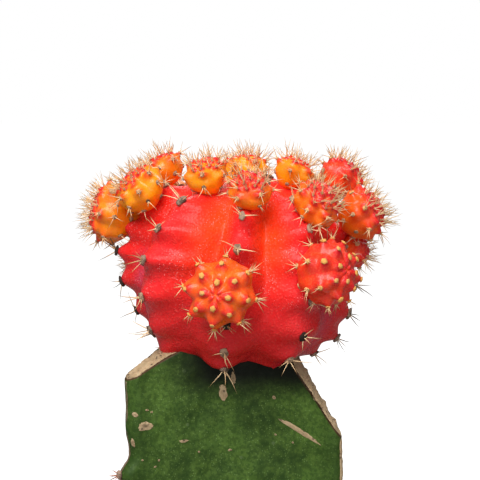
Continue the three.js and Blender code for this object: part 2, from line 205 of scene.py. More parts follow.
# Curved tapering spines. Each runs along root + direction * length * t + bend * length * t
# squared, and its radius falls as (1 - t) to the power taper to a point.
def spineMesh(spines, style):
    segments, sides = spineForm["segments"], style["sides"]
    directions = unit(spines["directions"])
    sideways, upwards = crossDirections(directions)
    steps = np.arange(segments) / segments
    length = spines["lengths"][:, None, None]
    path = spines["roots"][:, None] + directions[:, None] * length * steps[:, None]
    path = path + spines["bends"][:, None] * length * steps[:, None] ** 2
    radius = spines["radii"][:, None] * (1 - steps) ** spineForm["taper"]
    angles = circleAngles(sides)
    around = np.cos(angles)[:, None] * sideways[:, None] + np.sin(angles)[:, None] * upwards[:, None]
    rings = path[:, :, None] + radius[:, :, None, None] * around[:, None]
    tips = spines["roots"] + (directions + spines["bends"]) * spines["lengths"][:, None]
    count = len(tips)
    points = np.concatenate([rings.reshape(count, -1, 3), spines["roots"][:, None], tips[:, None]], 1)
    heights = np.concatenate([np.repeat(steps, sides), [0, 1]])
    shades = np.repeat(spines["shades"][:, None], len(heights), 1)
    values = {"height": np.repeat(heights[None], count, 0), "shade": shades}
    return points, repeatedFaces(segments, sides, count), values


# What all wool shares: how far its last row lies from the top in steps, two ruffles, and the
# spread of sizes.
woolForm = {"topShare": 0.6, "edgeRuffle": 0.13, "slantRuffle": 0.09, "sizes": (0.85, 1.15)}


# Woolly cushions: each is a low dome across its normal, longer along its tangent. Its felted edge
# has a ruffle of five sine waves round it and a slanting one of three, and its shade shifts them.
def woolMesh(tufts, style):
    rows, columns = style["rows"], style["columns"]
    normal = tufts["normals"][:, None, None]
    tangent = unit(tufts["tangents"])[:, None, None]
    sideways = np.cross(normal, tangent)
    polar = polarRows(rows, woolForm["topShare"])[None, :, None]
    turn = circleAngles(columns)[None, None]
    long, wide, tall, shade = (tufts[key][:, None, None] for key in ("longs", "wides", "talls", "shades"))
    ruffle = 1 + woolForm["edgeRuffle"] * np.sin(5 * turn + 9 * shade) * np.sin(polar)
    ruffle = ruffle + woolForm["slantRuffle"] * np.sin(3 * turn - 4 * polar + 40 * shade)
    out = np.sin(polar) * ruffle
    points = tufts["centres"][:, None, None] + normal * (tall * np.cos(polar))[..., None]
    points = points + tangent * (long * out * np.cos(turn))[..., None]
    points = points + sideways * (wide * out * np.sin(turn))[..., None]
    count = len(points)
    poles = tufts["centres"][:, None] + normal[:, 0] * tall * [[-1], [1]]
    points = np.concatenate([points.reshape(count, -1, 3), poles], 1)
    values = {"shade": np.repeat(tufts["shades"][:, None], rows * columns + 2, 1)}
    return points, repeatedFaces(rows, columns, count), values


# Nodes

# Adds a node. Each input is a value or the socket that feeds it.
def addNode(tree, kind, inputs=None, **settings):
    made = tree.nodes.new(kind)
    for key, value in settings.items():
        setattr(made, key, value)
    for key, value in (inputs or {}).items():
        if isinstance(value, bpy.types.NodeSocket):
            tree.links.new(value, made.inputs[key])
        else:
            made.inputs[key].default_value = value
    return made


# Links outputs to the inputs of the given names.
def feed(tree, sockets, given):
    for key, value in given.items():
        tree.links.new(value, sockets[key])


# The result of one maths node.
def maths(tree, operation, first, second=0.0):
    return addNode(tree, "ShaderNodeMath", {0: first, 1: second}, operation=operation).outputs[0]


# All of the given values multiplied.
def product(tree, first, *others):
    for other in others:
        first = maths(tree, "MULTIPLY", first, other)
    return first


# One less a value.
def inverse(tree, value):
    return maths(tree, "SUBTRACT", 1.0, value)


# The first colour with a share of the second in it.
def mixColours(tree, share, first, second, blend="MIX"):
    inputs = {0: share, 6: first, 7: second}
    return addNode(tree, "ShaderNodeMix", inputs, data_type="RGBA", blend_type=blend).outputs[2]


# The colour with another in it, by a mask times a strength.
def tint(tree, colour, mask, strength, added):
    return mixColours(tree, product(tree, mask, strength), colour, added)


# Maps a value between two limits to 0 and 1 with level ends.
def fade(tree, value, low, high):
    inputs = {"Value": value, "From Min": low, "From Max": high}
    return addNode(tree, "ShaderNodeMapRange", inputs, interpolation_type="SMOOTHSTEP").outputs[0]


# Maps a value from 0 and 1 to two limits.
def between(tree, value, low, high):
    inputs = {"Value": value, "To Min": low, "To Max": high}
    return addNode(tree, "ShaderNodeMapRange", inputs).outputs[0]


# Turns a value into a colour by way of stops, each a place from 0 to 1 and its colour.
def ramp(tree, value, stops):
    made = addNode(tree, "ShaderNodeValToRGB", {"Fac": value})
    band = made.color_ramp.elements
    for place, colour in stops[1:-1]:
        band.new(place).color = colour
    band[0].position, band[0].color = stops[0]
    band[len(stops) - 1].position, band[len(stops) - 1].color = stops[-1]
    return made.outputs[0]


# A value that each point of a piece carries.
def readValue(tree, name):
    return addNode(tree, "ShaderNodeAttribute", attribute_name=name).outputs["Fac"]


# A node group that takes a place and the given numbers: its tree, its inputs and its outputs. The output
# called Normal is a vector and the others are masks.
def newGroup(name, numbers, results):
    tree = bpy.data.node_groups.new(name, "ShaderNodeTree")
    tree.interface.new_socket("Vector", in_out="INPUT", socket_type="NodeSocketVector")
    for key, value in numbers.items():
        socket = tree.interface.new_socket(key, in_out="INPUT", socket_type="NodeSocketFloat")
        socket.default_value = value
    for key in results:
        kind = "NodeSocketVector" if key == "Normal" else "NodeSocketFloat"
        tree.interface.new_socket(key, in_out="OUTPUT", socket_type=kind)
    return tree, addNode(tree, "NodeGroupInput").outputs, addNode(tree, "NodeGroupOutput").inputs


# A pattern's texture node at the group's place, its scale 1 over the size of the pattern's parts.
def addTexture(tree, kind, given, size, constants, **settings):
    inputs = {"Vector": given["Vector"], "Scale": maths(tree, "DIVIDE", 1.0, size), **constants}
    return addNode(tree, kind, inputs, **settings).outputs


# A surface normal from a height between 0 and 1 that stands for the given distance.
def bumpNormal(tree, height, distance):
    inputs = {"Height": height, "Distance": distance, "Strength": 1.0}
    return addNode(tree, "ShaderNodeBump", inputs).outputs[0]


# Soft patches: noise at a size in metres, with its contrast raised to fill 0 to 1.
def mottleGroup():
    tree, given, result = newGroup("mottle", {"Size": 0.005}, ["Mask"])
    noise = addTexture(tree, "ShaderNodeTexNoise", given, given["Size"], {"Detail": 3.0})
    feed(tree, result, {"Mask": fade(tree, noise[0], 0.3, 0.7)})
    return tree


# Papillae: small round bumps at a spacing in metres. Gives the dots as a mask and the surface as a normal.
def papillaeGroup():
    tree, given, result = newGroup("papillae", {"Spacing": 0.0004, "Height": 0.00004}, ["Dots", "Normal"])
    kind, constants = "ShaderNodeTexVoronoi", {"Smoothness": 0.4}
    cells = addTexture(tree, kind, given, given["Spacing"], constants, feature="SMOOTH_F1")
    dots = inverse(tree, fade(tree, cells["Distance"], 0.05, 0.6))
    feed(tree, result, {"Dots": dots, "Normal": bumpNormal(tree, dots, given["Height"])})
    return tree


# Grain: rough noise as a mask and as a normal, for dry and crumbly surfaces.
def grainGroup():
    tree, given, result = newGroup("grain", {"Size": 0.0005, "Height": 0.00005}, ["Mask", "Normal"])
    constants = {"Detail": 5.0, "Roughness": 0.65}
    noise = addTexture(tree, "ShaderNodeTexNoise", given, given["Size"], constants)
    normal = bumpNormal(tree, noise[0], given["Height"])
    feed(tree, result, {"Mask": fade(tree, noise[0], 0.25, 0.75), "Normal": normal})
    return tree


# Small round specks at a spacing in metres, on a share of the cells. Gives them as a mask.
def specksGroup():
    tree, given, result = newGroup("specks", {"Spacing": 0.001, "Size": 0.2, "Share": 0.3}, ["Mask"])
    cells = addTexture(tree, "ShaderNodeTexVoronoi", given, given["Spacing"], {})
    drawn = addNode(tree, "ShaderNodeSeparateColor", {"Color": cells["Color"]}).outputs[0]
    chosenCells = maths(tree, "LESS_THAN", drawn, given["Share"])
    near = inverse(tree, fade(tree, cells["Distance"], product(tree, given["Size"], 0.5), given["Size"]))
    feed(tree, result, {"Mask": product(tree, near, chosenCells)})
    return tree


mottle = mottleGroup()
papillae = papillaeGroup()
grain = grainGroup()
specks = specksGroup()


# Places a group with its numbers, and gives its outputs.
def placeGroup(tree, group, place, numbers):
    return addNode(tree, "ShaderNodeGroup", {"Vector": place, **numbers}, node_tree=group).outputs


# A mask of soft patches of a size in metres.
def mottleMask(tree, place, size):
    return placeGroup(tree, mottle, place, {"Size": size})["Mask"]


# Grain of a size and a height in metres, as Mask and Normal.
def grainOutputs(tree, place, size, height):
    return placeGroup(tree, grain, place, {"Size": size, "Height": height})


# A mask of specks, which are their spacing in metres, their size in spacings and their share of the cells.
def specksMask(tree, place, spacing, size, share):
    return placeGroup(tree, specks, place, {"Spacing": spacing, "Size": size, "Share": share})["Mask"]


# A material with its tree, its shader's sockets and the object's own coordinates.
def newMaterial(name, constants):
    material = bpy.data.materials.new(name)
    material.use_nodes = True
    tree = material.node_tree
    shader = tree.nodes["Principled BSDF"]
    for key, value in constants.items():
        shader.inputs[key].default_value = value
    place = addNode(tree, "ShaderNodeTexCoord").outputs["Object"]
    return material, tree, shader.inputs, place


print("node groups made")


# Camera, lights and floor

view = {
    "target": (0.7, 0.0, 154.5),
    "distance": 260.0,
    "elevation": 8.0,
    "millimetresPerPixel": 0.183,
    "imagePixels": 480,
    "sensor": 36.0,
    "nearest": 10.0,
}


# Turns a camera or a light to look in a direction.
def aim(thing, direction):
    thing.rotation_euler = direction.to_track_quat("-Z", "Y").to_euler()


# The camera stands in front, above by the elevation. Its lens is sensor times distance over the width seen.
def makeCamera():
    tilt = math.radians(view["elevation"])
    forward = Vector((0, math.cos(tilt), -math.sin(tilt)))
    data = bpy.data.cameras.new("photoCamera")
    data.sensor_width = view["sensor"]
    data.lens = view["sensor"] * view["distance"] / (view["imagePixels"] * view["millimetresPerPixel"])
    data.clip_start = view["nearest"] * metre
    camera = newObject("photoCamera", data)
    camera.location = Vector(view["target"]) * metre - forward * view["distance"] * metre
    aim(camera, forward)
    bpy.context.scene.camera = camera


# Each soft light: where it stands and what it aims at in metres, its side and its power in watts.
lights = {
    "topLight": {"place": (-0.12, -0.33, 0.60), "aim": (0, 0, 0.14), "side": 0.42, "power": 5.1},
    "frontLight": {"place": (0.16, -0.80, 0.26), "aim": (0, 0, 0.13), "side": 0.5, "power": 1.42},
    "backLight": {"place": (0.15, 0.60, 0.50), "aim": (0, 0, 0.14), "side": 0.5, "power": 2.0},
}

# The pale surround: its strength as the camera sees it and as it lights the plant, and the floor,
# which glows for the camera alone. The floor's side is metres.
surround = {
    "seen": 1.0,
    "lighting": 0.24,
    "floorColour": (150, 149, 147),
    "floorRoughness": 0.9,
    "floorGlow": 0.96,
    "floorSide": 6.0,
}
white = (1, 1, 1, 1)


# 1 for what the camera sees and 0 for what light meets.
def cameraRay(tree):
    return addNode(tree, "ShaderNodeLightPath").outputs["Is Camera Ray"]


# The lights, and a world that is pale to the camera and lights the plant less.
def makeLights():
    for name, each in lights.items():
        data = bpy.data.lights.new(name, "AREA")
        data.energy = each["power"]
        data.size = each["side"]
        lamp = newObject(name, data)
        lamp.location = each["place"]
        aim(lamp, Vector(each["aim"]) - Vector(each["place"]))
    world = bpy.data.worlds.new("studio")
    bpy.context.scene.world = world
    world.use_nodes = True
    tree = world.node_tree
    back = tree.nodes["Background"].inputs
    back["Color"].default_value = white
    feed(tree, back, {"Strength": between(tree, cameraRay(tree), surround["lighting"], surround["seen"])})


# A level square whose glow is the camera ray times floorGlow.
def makeFloor():
    constants = {
        "Base Color": tone(*surround["floorColour"]),
        "Roughness": surround["floorRoughness"],
        "Emission Color": white,
    }
    material, tree, sockets, _ = newMaterial("paleFloor", constants)
    feed(tree, sockets, {"Emission Strength": product(tree, cameraRay(tree), surround["floorGlow"])})
    half = surround["floorSide"] / 2
    mesh = bpy.data.meshes.new("floor")
    corners = [(-half, -half, 0), (half, -half, 0), (half, half, 0), (-half, half, 0)]
    mesh.from_pydata(corners, [], [(0, 1, 2, 3)])
    mesh.materials.append(material)
    floor = newObject("floor", mesh)


bpy.context.scene.view_settings.view_transform = "Standard"
makeCamera()
makeLights()
makeFloor()
print("camera, lights and floor made")


# Heads: the red globe and the offsets on it

# What heads share. The ribs fade towards the poles. Each pair is two places along a head, from 0
# at its base to 1 at its apex, between which something changes: the valleys turn to their upper
# places, the ribs grow deep, and the mounds become those of young areoles. Covered is the share
# of a head's size within which it hides what other heads bear.
headForm = {
    "roundShare": 0.8,
    "valleySoft": 0.16,
    "poleFade": 0.6,
    "valleysTurn": (0.15, 0.6),
    "ribsDeepen": (0.25, 0.6),
    "moundsYoung": (0.4, 0.75),
    "lowestFade": 0.07,
    "nudge": 0.01,
    "outwards": 0.35,
    "covered": 0.86,
    "cutOffMost": 0.3,
}

# A crest row holds a rib's direction in degrees at the base and at the apex, where the valley after
# it lies in the upper half, how full the rib is below the middle, how orange the valley after it
# is, how many areoles the whole crest would have, and by what part of a row they are moved up.
scion = {
    "radius": 20.8,
    "rise": 14.2,
    "drop": 19.5,
    "topPower": 0.66,
    "basePower": 0.6,
    "crowding": 0.8,
    "lowest": 0.09,
    "highest": 0.97,
    "ribDepth": 0.25,
    "ribBase": 0.45,
    "tubercle": 0.04,
    "mound": 0.3,
    "moundWidth": 2.0,
    "youngMound": 0.3,
    "foldShare": 1.2,
    "widestAboveGraft": 14.2,
    "bottomBelowGraft": 4.4,
    "scallop": 1.5,
    "scallopPower": 0.6,
    "cutSoft": (-0.4, 0.8),
    "underRise": 2.4,
    "lumps": [(9.0, 0.25), (3.0, 0.06)],
    "rows": 240,
    "columns": 360,
    "seed": 5,
    "crests": np.array([
        [-12, 9, 0.48, 1.0, 1.0, 9, 0.0],
        [33, 43, 0.5, 1.05, 0.3, 9, 0.5],
        [86, 86, 0.5, 1.08, 0.2, 10.8, 0.45],
        [133, 130, 0.45, 1.04, 0.5, 9, 0.5],
        [180, 176, 0.55, 1.0, 0.9, 9, 0.0],
        [222, 224, 0.5, 0.97, 0.3, 9, 0.5],
        [263, 279, 0.5, 0.91, 0.1, 10.8, 0.5],
        [292, 330, 0.74, 0.96, 0.9, 9, 0.5],
    ]),
}

# Offsets: direction from the front in degrees, distance from the axis, height above the graft,
# lean of the axis from upright, the direction it leans to, crest radius, ripeness from 0 yellow
# to 1 red, and paleness of the wool.
offsetRows = [
    (-95, 22.6, 22.2, 78, -92, 5.55, 0.30, 0.2),
    (-75, 17.7, 27.4, 42, -80, 4.55, 0.16, 0.2),
    (-118, 15.2, 29.8, 30, -118, 3.6, 0.34, 0.3),
    (-32, 9.8, 30.2, 16, -25, 3.9, 0.14, 0.3),
    (150, 5.2, 30.3, 8, 120, 3.2, 0.06, 0.4),
    (9, 15.0, 28.2, 28, 5, 3.7, 0.42, 0.6),
    (92, 10.6, 29.8, 18, 90, 3.6, 0.22, 0.4),
    (99, 19.4, 28.6, 38, 100, 4.2, 0.78, 0.5),
    (48, 19.0, 25.6, 46, 48, 4.4, 0.44, 0.7),
    (76, 23.2, 23.0, 62, 78, 4.7, 0.60, 0.7),
    (-6, 23.6, 11.9, 86, -12, 5.9, 0.56, 1.0),
    (40, 24.2, 14.4, 76, 52, 5.8, 0.84, 1.0),
    (86, 21.8, 15.9, 84, 88, 3.0, 0.80, 0.6),
    (134, 21.4, 22.6, 58, 136, 4.6, 0.40, 0.5),
    (178, 16.4, 27.4, 40, 178, 4.5, 0.30, 0.4),
    (222, 20.8, 23.4, 56, 222, 4.8, 0.24, 0.4),
    (177, 23.8, 13.0, 84, 177, 5.4, 0.52, 0.8),
    (228, 23.6, 11.0, 88, 230, 4.4, 0.62, 0.5),
]
offsetForm = {
    "rise": 0.72,
    "drop": 0.92,
    "crowding": 1.15,
    "lowest": 0.24,
    "highest": 0.97,
    "topPower": 0.85,
    "basePower": 1.4,
    "ribDepth": 0.12,
    "ribBase": 0.2,
    "tubercle": 0.03,
    "mound": 0.06,
    "moundWidth": 0.95,
    "youngMound": 0.7,
    "foldShare": 1.2,
    "largeFrom": 4.4,
    "large": {"ribs": 8, "areoles": 5},
    "small": {"ribs": 6, "areoles": 4},
    "turnStep": 137.5,
    "lumps": [(6.0, 0.22)],
    "rows": 76,
    "columns": 100,
    "seed": 100,
}

# The crown of an offset, out to reach degrees from its axis, has small tubercles of its own at an
# even spacing, each with a tuft of spines. They set in above from, over blend, and the ribs' own
# areoles end clear above it. Heads with wool as pale as palest have no such crown.
crown = {
    "reach": 50.0,
    "spacing": 1.25,
    "turn": 137.5,
    "mound": 0.5,
    "width": 0.58,
    "from": 0.68,
    "blend": 0.06,
    "clear": 0.03,
    "palest": 0.8,
}


# The rotation that turns upright to an axis by the shortest way: the identity, plus the matrix of
# the cross product with the turning axis, plus that matrix squared over 1 more than the cosine.
def turnTo(axis):
    cross = np.array([[0, 0, axis[0]], [0, 0, axis[1]], [-axis[0], -axis[1], 0]])
    return np.eye(3) + cross + cross @ cross / (1 + axis[2])


# The globe's settings, upright and with its widest place above the graft.
def scionHead():
    centre = np.array([0, 0, graftHeight + scion["widestAboveGraft"]])
    return {**scion, "turned": np.eye(3), "centre": centre}


# Crown places of a head: a spiral of equal areas, as azimuths in degrees and cosines of the angle
# to the axis.
def crownPlaces(radius):
    limit = 1 - math.cos(math.radians(crown["reach"]))
    count = int(2 * math.pi * limit * (radius / crown["spacing"]) ** 2)
    order = np.arange(count)
    return (crown["turn"] * order) % 360, 1 - limit * (order + 0.5) / count


# An offset's settings from its row. Its ribs stand evenly, with their areoles in alternate rows.
def offsetHead(row, index):
    azimuth, out, up, lean, leanTo, radius, ripeness, paleness = row
    size = offsetForm["large"] if radius >= offsetForm["largeFrom"] else offsetForm["small"]
    ribs = size["ribs"]
    directions = (index * offsetForm["turnStep"]) % 360 + 360 * np.arange(ribs) / ribs
    middle, full, glow, areoles = (np.full(ribs, value) for value in (0.5, 1.0, 0.0, size["areoles"]))
    stagger = 0.5 * (np.arange(ribs) % 2)
    axis = fromAxis(leanTo, math.sin(math.radians(lean)), math.cos(math.radians(lean)))
    crownAzimuth, cosine = crownPlaces(radius if paleness < crown["palest"] else 0)
    return {
        **offsetForm,
        "radius": radius,
        "rise": radius * offsetForm["rise"],
        "drop": radius * offsetForm["drop"],
        "crests": np.stack([directions, directions, middle, full, glow, areoles, stagger], -1),
        "crown": fromAxis(crownAzimuth, np.sqrt(1 - cosine ** 2), cosine),
        "crownTurns": ((crownAzimuth - directions[0]) % 360) * ribs / 360,
        "crownAlongs": 1 - np.arccos(cosine) / np.pi,
        "turned": turnTo(axis),
        "centre": fromAxis(azimuth, out, graftHeight + up),
        "ripeness": ripeness,
        "paleness": paleness,
        "seed": offsetForm["seed"] + index,
    }


# The globe's underside. Below a cut that arches up in the valleys, the skin turns in as a low dome
# that rises with the sine of the depth below the cut. Also gives how far each point is past the cut.
def trimmed(head, up, share):
    level = -head["widestAboveGraft"] - head["bottomBelowGraft"]
    cut = level + head["scallop"] * (1 - share) ** head["scallopPower"]
    depth = np.clip((cut - up) / (cut + head["drop"]), 0, 1)
    dome = lerp(cut, level, depth) + head["underRise"] * np.sin(depth * np.pi / 2)
    past = smooth(cut - up, *head["cutSoft"])
    return lerp(up, dome, past), past


# Mounds at the areoles on a head's crests, each a Gaussian of the distance from the areole in
# millimetres, which grow from mound near the base to youngMound higher up. Areoles of neighbouring
# ribs stand in alternate rows, which crowding draws together towards the apex where it is over 1
# and towards the base where it is under 1. Also gives each point's row and how near its tip is.
def ribMounds(head, own, share, along, polar):
    areoles, stagger = own[..., 5], own[..., 6]
    row = areoles * along ** head["crowding"] - stagger
    nearest = np.maximum(np.round(row) + stagger, 0) / areoles
    aside = (1 - share) * np.pi * head["radius"] * np.sin(polar) / len(head["crests"])
    upwards = (along - nearest ** (1 / head["crowding"])) * np.pi * head["radius"]
    tip = bell(np.hypot(aside, upwards), head["moundWidth"])
    tip = tip * smooth(along, head["lowest"] - headForm["lowestFade"], head["lowest"])
    tip = tip * (1 - smooth(along, head["highest"], 1))
    mound = lerp(head["mound"], head["youngMound"], smooth(along, *headForm["moundsYoung"])) * tip
    return row, tip, mound


# The crown's mounds take over from those of the ribs. Each is a Gaussian of the angle from its
# place, whose square is near twice one less the cosine.
def crownMounds(head, azimuth, along, polar, tip, mound):
    directions = fromAxis(azimuth, np.sin(polar), np.cos(polar))
    squared = 2 * (1 - (directions[..., None, :] * head["crown"]).sum(-1).max(-1))
    crownTip = np.exp(-squared * (head["radius"] / crown["width"]) ** 2)
    within = smooth(along, crown["from"], crown["from"] + crown["blend"])
    return lerp(tip, crownTip, within), lerp(mound, crown["mound"] * crownTip, within)


# A head's skin. A whole turn is a crest and a half one a valley; along runs from 0 at the base to
# 1 at the apex. The profile is an ellipse raised to a power. It is pulled in by ribDepth in the
# valleys, swells by tubercle times a cosine along each crest, and has a mound at each areole.
def headSkin(head, turn, along):
    crests = head["crests"]
    count = len(crests)
    index = np.floor(turn).astype(int)
    half = turn - index
    here, after, own = (crests[step % count] for step in (index, index + 1, np.round(turn).astype(int)))
    valley = lerp(0.5, here[..., 2], smooth(along, *headForm["valleysTurn"]))
    part = np.where(half < 0.5, 2 * half * valley, valley + (2 * half - 1) * (1 - valley))
    azimuthHere = lerp(here[..., 0], here[..., 1], along) + 360 * (index // count)
    azimuthAfter = lerp(after[..., 0], after[..., 1], along) + 360 * ((index + 1) // count)
    azimuth = lerp(azimuthHere, azimuthAfter, part)
    polar = np.pi * (1 - along)
    above = np.cos(polar) > 0
    full = np.where(above, 1, lerp(1, lerp(here[..., 3], after[..., 3], part), np.sin(2 * polar) ** 2))
    reach = np.sin(polar) ** np.where(above, head["topPower"], head["basePower"]) * full
    share = np.abs(1 - 2 * half)
    soft = headForm["valleySoft"]
    eased = (np.hypot(share, soft) - soft) / (math.hypot(1, soft) - soft)
    rounded = lerp(eased, np.sin(eased * np.pi / 2), headForm["roundShare"])
    ribFade = lerp(head["ribBase"], 1, smooth(along, *headForm["ribsDeepen"]))
    ribFade = ribFade * np.sin(polar) ** headForm["poleFade"]
    row, tip, mound = ribMounds(head, own, share, along, polar)
    if len(head.get("crown", [])):
        tip, mound = crownMounds(head, azimuth, along, polar, tip, mound)
    fold = np.cos(2 * np.pi * row) * share ** head["foldShare"]
    factor = 1 - head["ribDepth"] * (1 - rounded) * ribFade
    factor = factor + head["tubercle"] * fold * ribFade + mound / head["radius"]
    out = head["radius"] * reach * factor
    up = np.cos(polar) * np.where(above, head["rise"], head["drop"]) * factor
    values = {"share": share, "along": along, "tip": tip, "glow": here[..., 4], "cutOff": np.zeros_like(up)}
    if "scallop" in head:
        up, values["cutOff"] = trimmed(head, up, share)
    points = fromAxis(azimuth, out, up)
    for size, height in head["lumps"]:
        points = points + unit(points) * height * waves(points, size, head["seed"])[..., None]
    return points, values


# A head's own points turned to its axis and moved to its centre.
def placed(head, points):
    return points @ head["turned"].T + head["centre"]


# Points and directions at places on a head's skin, from the points a nudge to all four sides. The normals
# lean a share towards the direction from the head's centre.
def skinPlaces(head, turn, along):
    nudge = headForm["nudge"]
    points, values = headSkin(head, turn, along)
    upwards = headSkin(head, turn, along + nudge)[0] - headSkin(head, turn, along - nudge)[0]
    sideways = headSkin(head, turn + nudge, along)[0] - headSkin(head, turn - nudge, along)[0]
    normals = unit(unit(np.cross(sideways, upwards)) + headForm["outwards"] * unit(points))
    tangents = unit(upwards - normals * (upwards * normals).sum(-1, keepdims=True))
    turned = head["turned"].T
    found = {"points": placed(head, points), "normals": normals @ turned, "tangents": tangents @ turned}
    return {**found, "along": along, "cutOff": values["cutOff"]}


# A head's areoles: on the crests, in alternate rows, within the band that bears them and below the crown.
def areolesOf(head):
    crests = head["crests"]
    rib, step = np.meshgrid(np.arange(len(crests)), np.arange(math.ceil(crests[:, 5].max())), indexing="ij")
    turn = rib.ravel().astype(float)
    areoles, stagger = crests[rib.ravel(), 5], crests[rib.ravel(), 6]
    along = ((step.ravel() + stagger) / areoles) ** (1 / head["crowding"])
    highest = crown["from"] + crown["clear"] if len(head.get("crown", [])) else head["highest"]
    kept = (along > head["lowest"]) & (along < highest)
    return skinPlaces(head, turn[kept], along[kept])


# Which points lie inside a head, taken as its profile without ribs and shrunk to covered: height
# squared plus distance to the power of 2 over the profile's own is under 1.
def insideHead(head, points):
    local = (points - head["centre"]) @ head["turned"] / headForm["covered"]
    above = local[:, 2] > 0
    power = np.where(above, head["topPower"], head["basePower"])
    up = local[:, 2] / np.where(above, head["rise"], head["drop"])
    out = np.hypot(local[:, 0], local[:, 1]) / head["radius"]
    return up ** 2 + out ** (2 / power) < 1


# The same values for fewer points.
def chosen(areoles, kept):
    return {key: value[kept] for key, value in areoles.items()}


# Those areoles that no other head covers and that don't lie on a cut underside.
def uncovered(areoles, others):
    kept = areoles["cutOff"] < headForm["cutOffMost"]
    for other in others:
        kept &= ~insideHead(other, areoles["points"])
    return chosen(areoles, kept)


# One head's skin as a piece. Carried are the skin's values that its material reads, and added are more of
# them, each the same all over the head.
def makeHead(name, head, carried, added, material, slot, node):
    turn, along = np.meshgrid(
        len(head["crests"]) * np.arange(head["columns"]) / head["columns"],
        (np.arange(head["rows"]) + 0.5) / head["rows"],
    )
    points, own = headSkin(head, turn, along)
    poles = headSkin(head, np.zeros(2), np.array([0.0, 1.0]))[0]
    points = placed(head, np.concatenate([points.reshape(-1, 3), poles]))
    values = {key: np.append(own[key], [0, 0]) for key in carried}
    values.update({key: np.full(len(points), number) for key, number in added.items()})
    faces = skinFaces(head["rows"], head["columns"])
    piece = makePiece(name, points, faces, values, material, slot)
    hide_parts(node)


# The spines of areoles: one near the areole's own direction and the rest spread evenly round it.
# They bend in random directions across their own. Cover is the share of them that each areole keeps.
def spinesAt(areoles, lengths, seed, style, cover=1.0):
    draw = np.random.default_rng(seed)
    points, normals, tangents = (areoles[key] for key in ("points", "normals", "tangents"))
    count, each = len(points), style["each"]
    sideways = np.cross(normals, tangents)
    turn = np.arange(each) / (each - 1) + draw.random((count, 1))
    turn = 2 * np.pi * (turn + spineForm["uneven"] * draw.normal(size=(count, each)))
    lean = np.radians(draw.uniform(*style["lean"], (count, each)))
    lean[:, 0] = np.radians(draw.uniform(spineForm["leastLean"], style["lean"][0], count))
    across = np.cos(turn)[..., None] * tangents[:, None] + np.sin(turn)[..., None] * sideways[:, None]
    directions = np.cos(lean)[..., None] * normals[:, None] + np.sin(lean)[..., None] * across
    directions = directions.reshape(-1, 3)
    spread = draw.normal(size=directions.shape)
    spread -= directions * (spread * directions).sum(-1, keepdims=True)
    total = count * each
    spines = {
        "roots": np.repeat(points, each, 0) + style["scatter"] * spread - spineForm["rooted"] * directions,
        "directions": directions,
        "bends": style["bend"] * spread,
        "lengths": np.repeat(lengths, each) * draw.uniform(*spineForm["lengths"], total),
        "radii": style["radius"] * draw.uniform(*spineForm["radii"], total),
        "shades": draw.uniform(*style["shade"], total),
    }
    return chosen(spines, draw.random(total) < np.repeat(np.broadcast_to(cover, count), each))


# Several sets of the same values as one.
def joined(parts):
    return {key: np.concatenate([part[key] for part in parts]) for key in parts[0]}


# Woolly cushions at areoles. Their own direction is that of the areole, and they are longest along the rib.
def woolAt(areoles, style, seed, shades):
    draw = np.random.default_rng(seed)
    size = draw.uniform(*woolForm["sizes"], len(areoles["points"])) * style["size"]
    return {
        "centres": areoles["points"] + style["raised"] * areoles["normals"],
        "normals": areoles["normals"],
        "tangents": areoles["tangents"],
        "longs": size * style["long"],
        "wides": size,
        "talls": size * style["tall"],
        "shades": shades,
    }


# Materials of the heads. In each look, sizes, spacings and heights of patterns are metres, a pair is
# the two values between which a mask fades in, and a strength is the most of a colour that is mixed in.

globeLook = {
    "shader": {
        "Coat Weight": 0.06,
        "Coat Roughness": 0.14,
        "Subsurface Weight": 0.12,
        "Subsurface Scale": 0.0016,
        "Subsurface Radius": (1.0, 0.25, 0.12),
        "Specular IOR Level": 0.13,
    },
    # The skin's red darkens towards the base, partly as painted shade.
    "skin": [
        (0.0, tone(176, 26, 32)),
        (0.24, tone(210, 34, 36)),
        (0.5, tone(222, 34, 34)),
        (0.72, tone(236, 36, 30)),
        (1.0, tone(242, 50, 34)),
    ],
    "patchSize": 0.0045,
    "patchStrength": 0.22,
    "patch": tone(210, 34, 36),
    "fineSize": 0.0011,
    "papillae": {"Spacing": 0.00046, "Height": 0.00006},
    "dotStrength": 0.15,
    "dots": tone(255, 132, 112),
    "creaseAcross": (0.8, 0.1),
    "creaseUp": (0.36, 0.66),
    "creasePatches": (-1.0, 1.0),
    "crease": tone(255, 78, 22),
    "crestAcross": (0.55, 1.0),
    "crestStrength": 0.16,
    "crest": tone(238, 72, 84),
    # The bloom is a waxy mauve bloom in the lower side valleys and partly a painted sheen of the pale
    # surround.
    "sheenBloomAcross": (0.62, 0.2),
    "sheenBloomUp": (0.62, 0.48),
    "sheenBloomGlow": (0.6, 0.1),
    "sheenBloomStreaks": (-0.6, 0.9),
    "streakSize": 0.0009,
    "streakHeight": 0.00001,
    "bloomStrength": 0.75,
    "bloom": tone(176, 70, 96),
    # The glints are painted highlights: pale pink specks in patches on the upper globe.
    "paintedGlintPatches": (0.44, 0.76),
    "paintedGlintUp": (0.25, 0.5),
    "paintedGlintSpacing": 0.00034,
    "paintedGlintSize": 0.26,
    "paintedGlintShare": 0.7,
    "paintedGlintStrength": 0.75,
    "paintedGlints": tone(255, 176, 176),
    "pitTip": (0.82, 0.98),
    "pitStrength": 0.65,
    "pit": tone(96, 24, 22),
    "roughness": (0.24, 0.42),
}
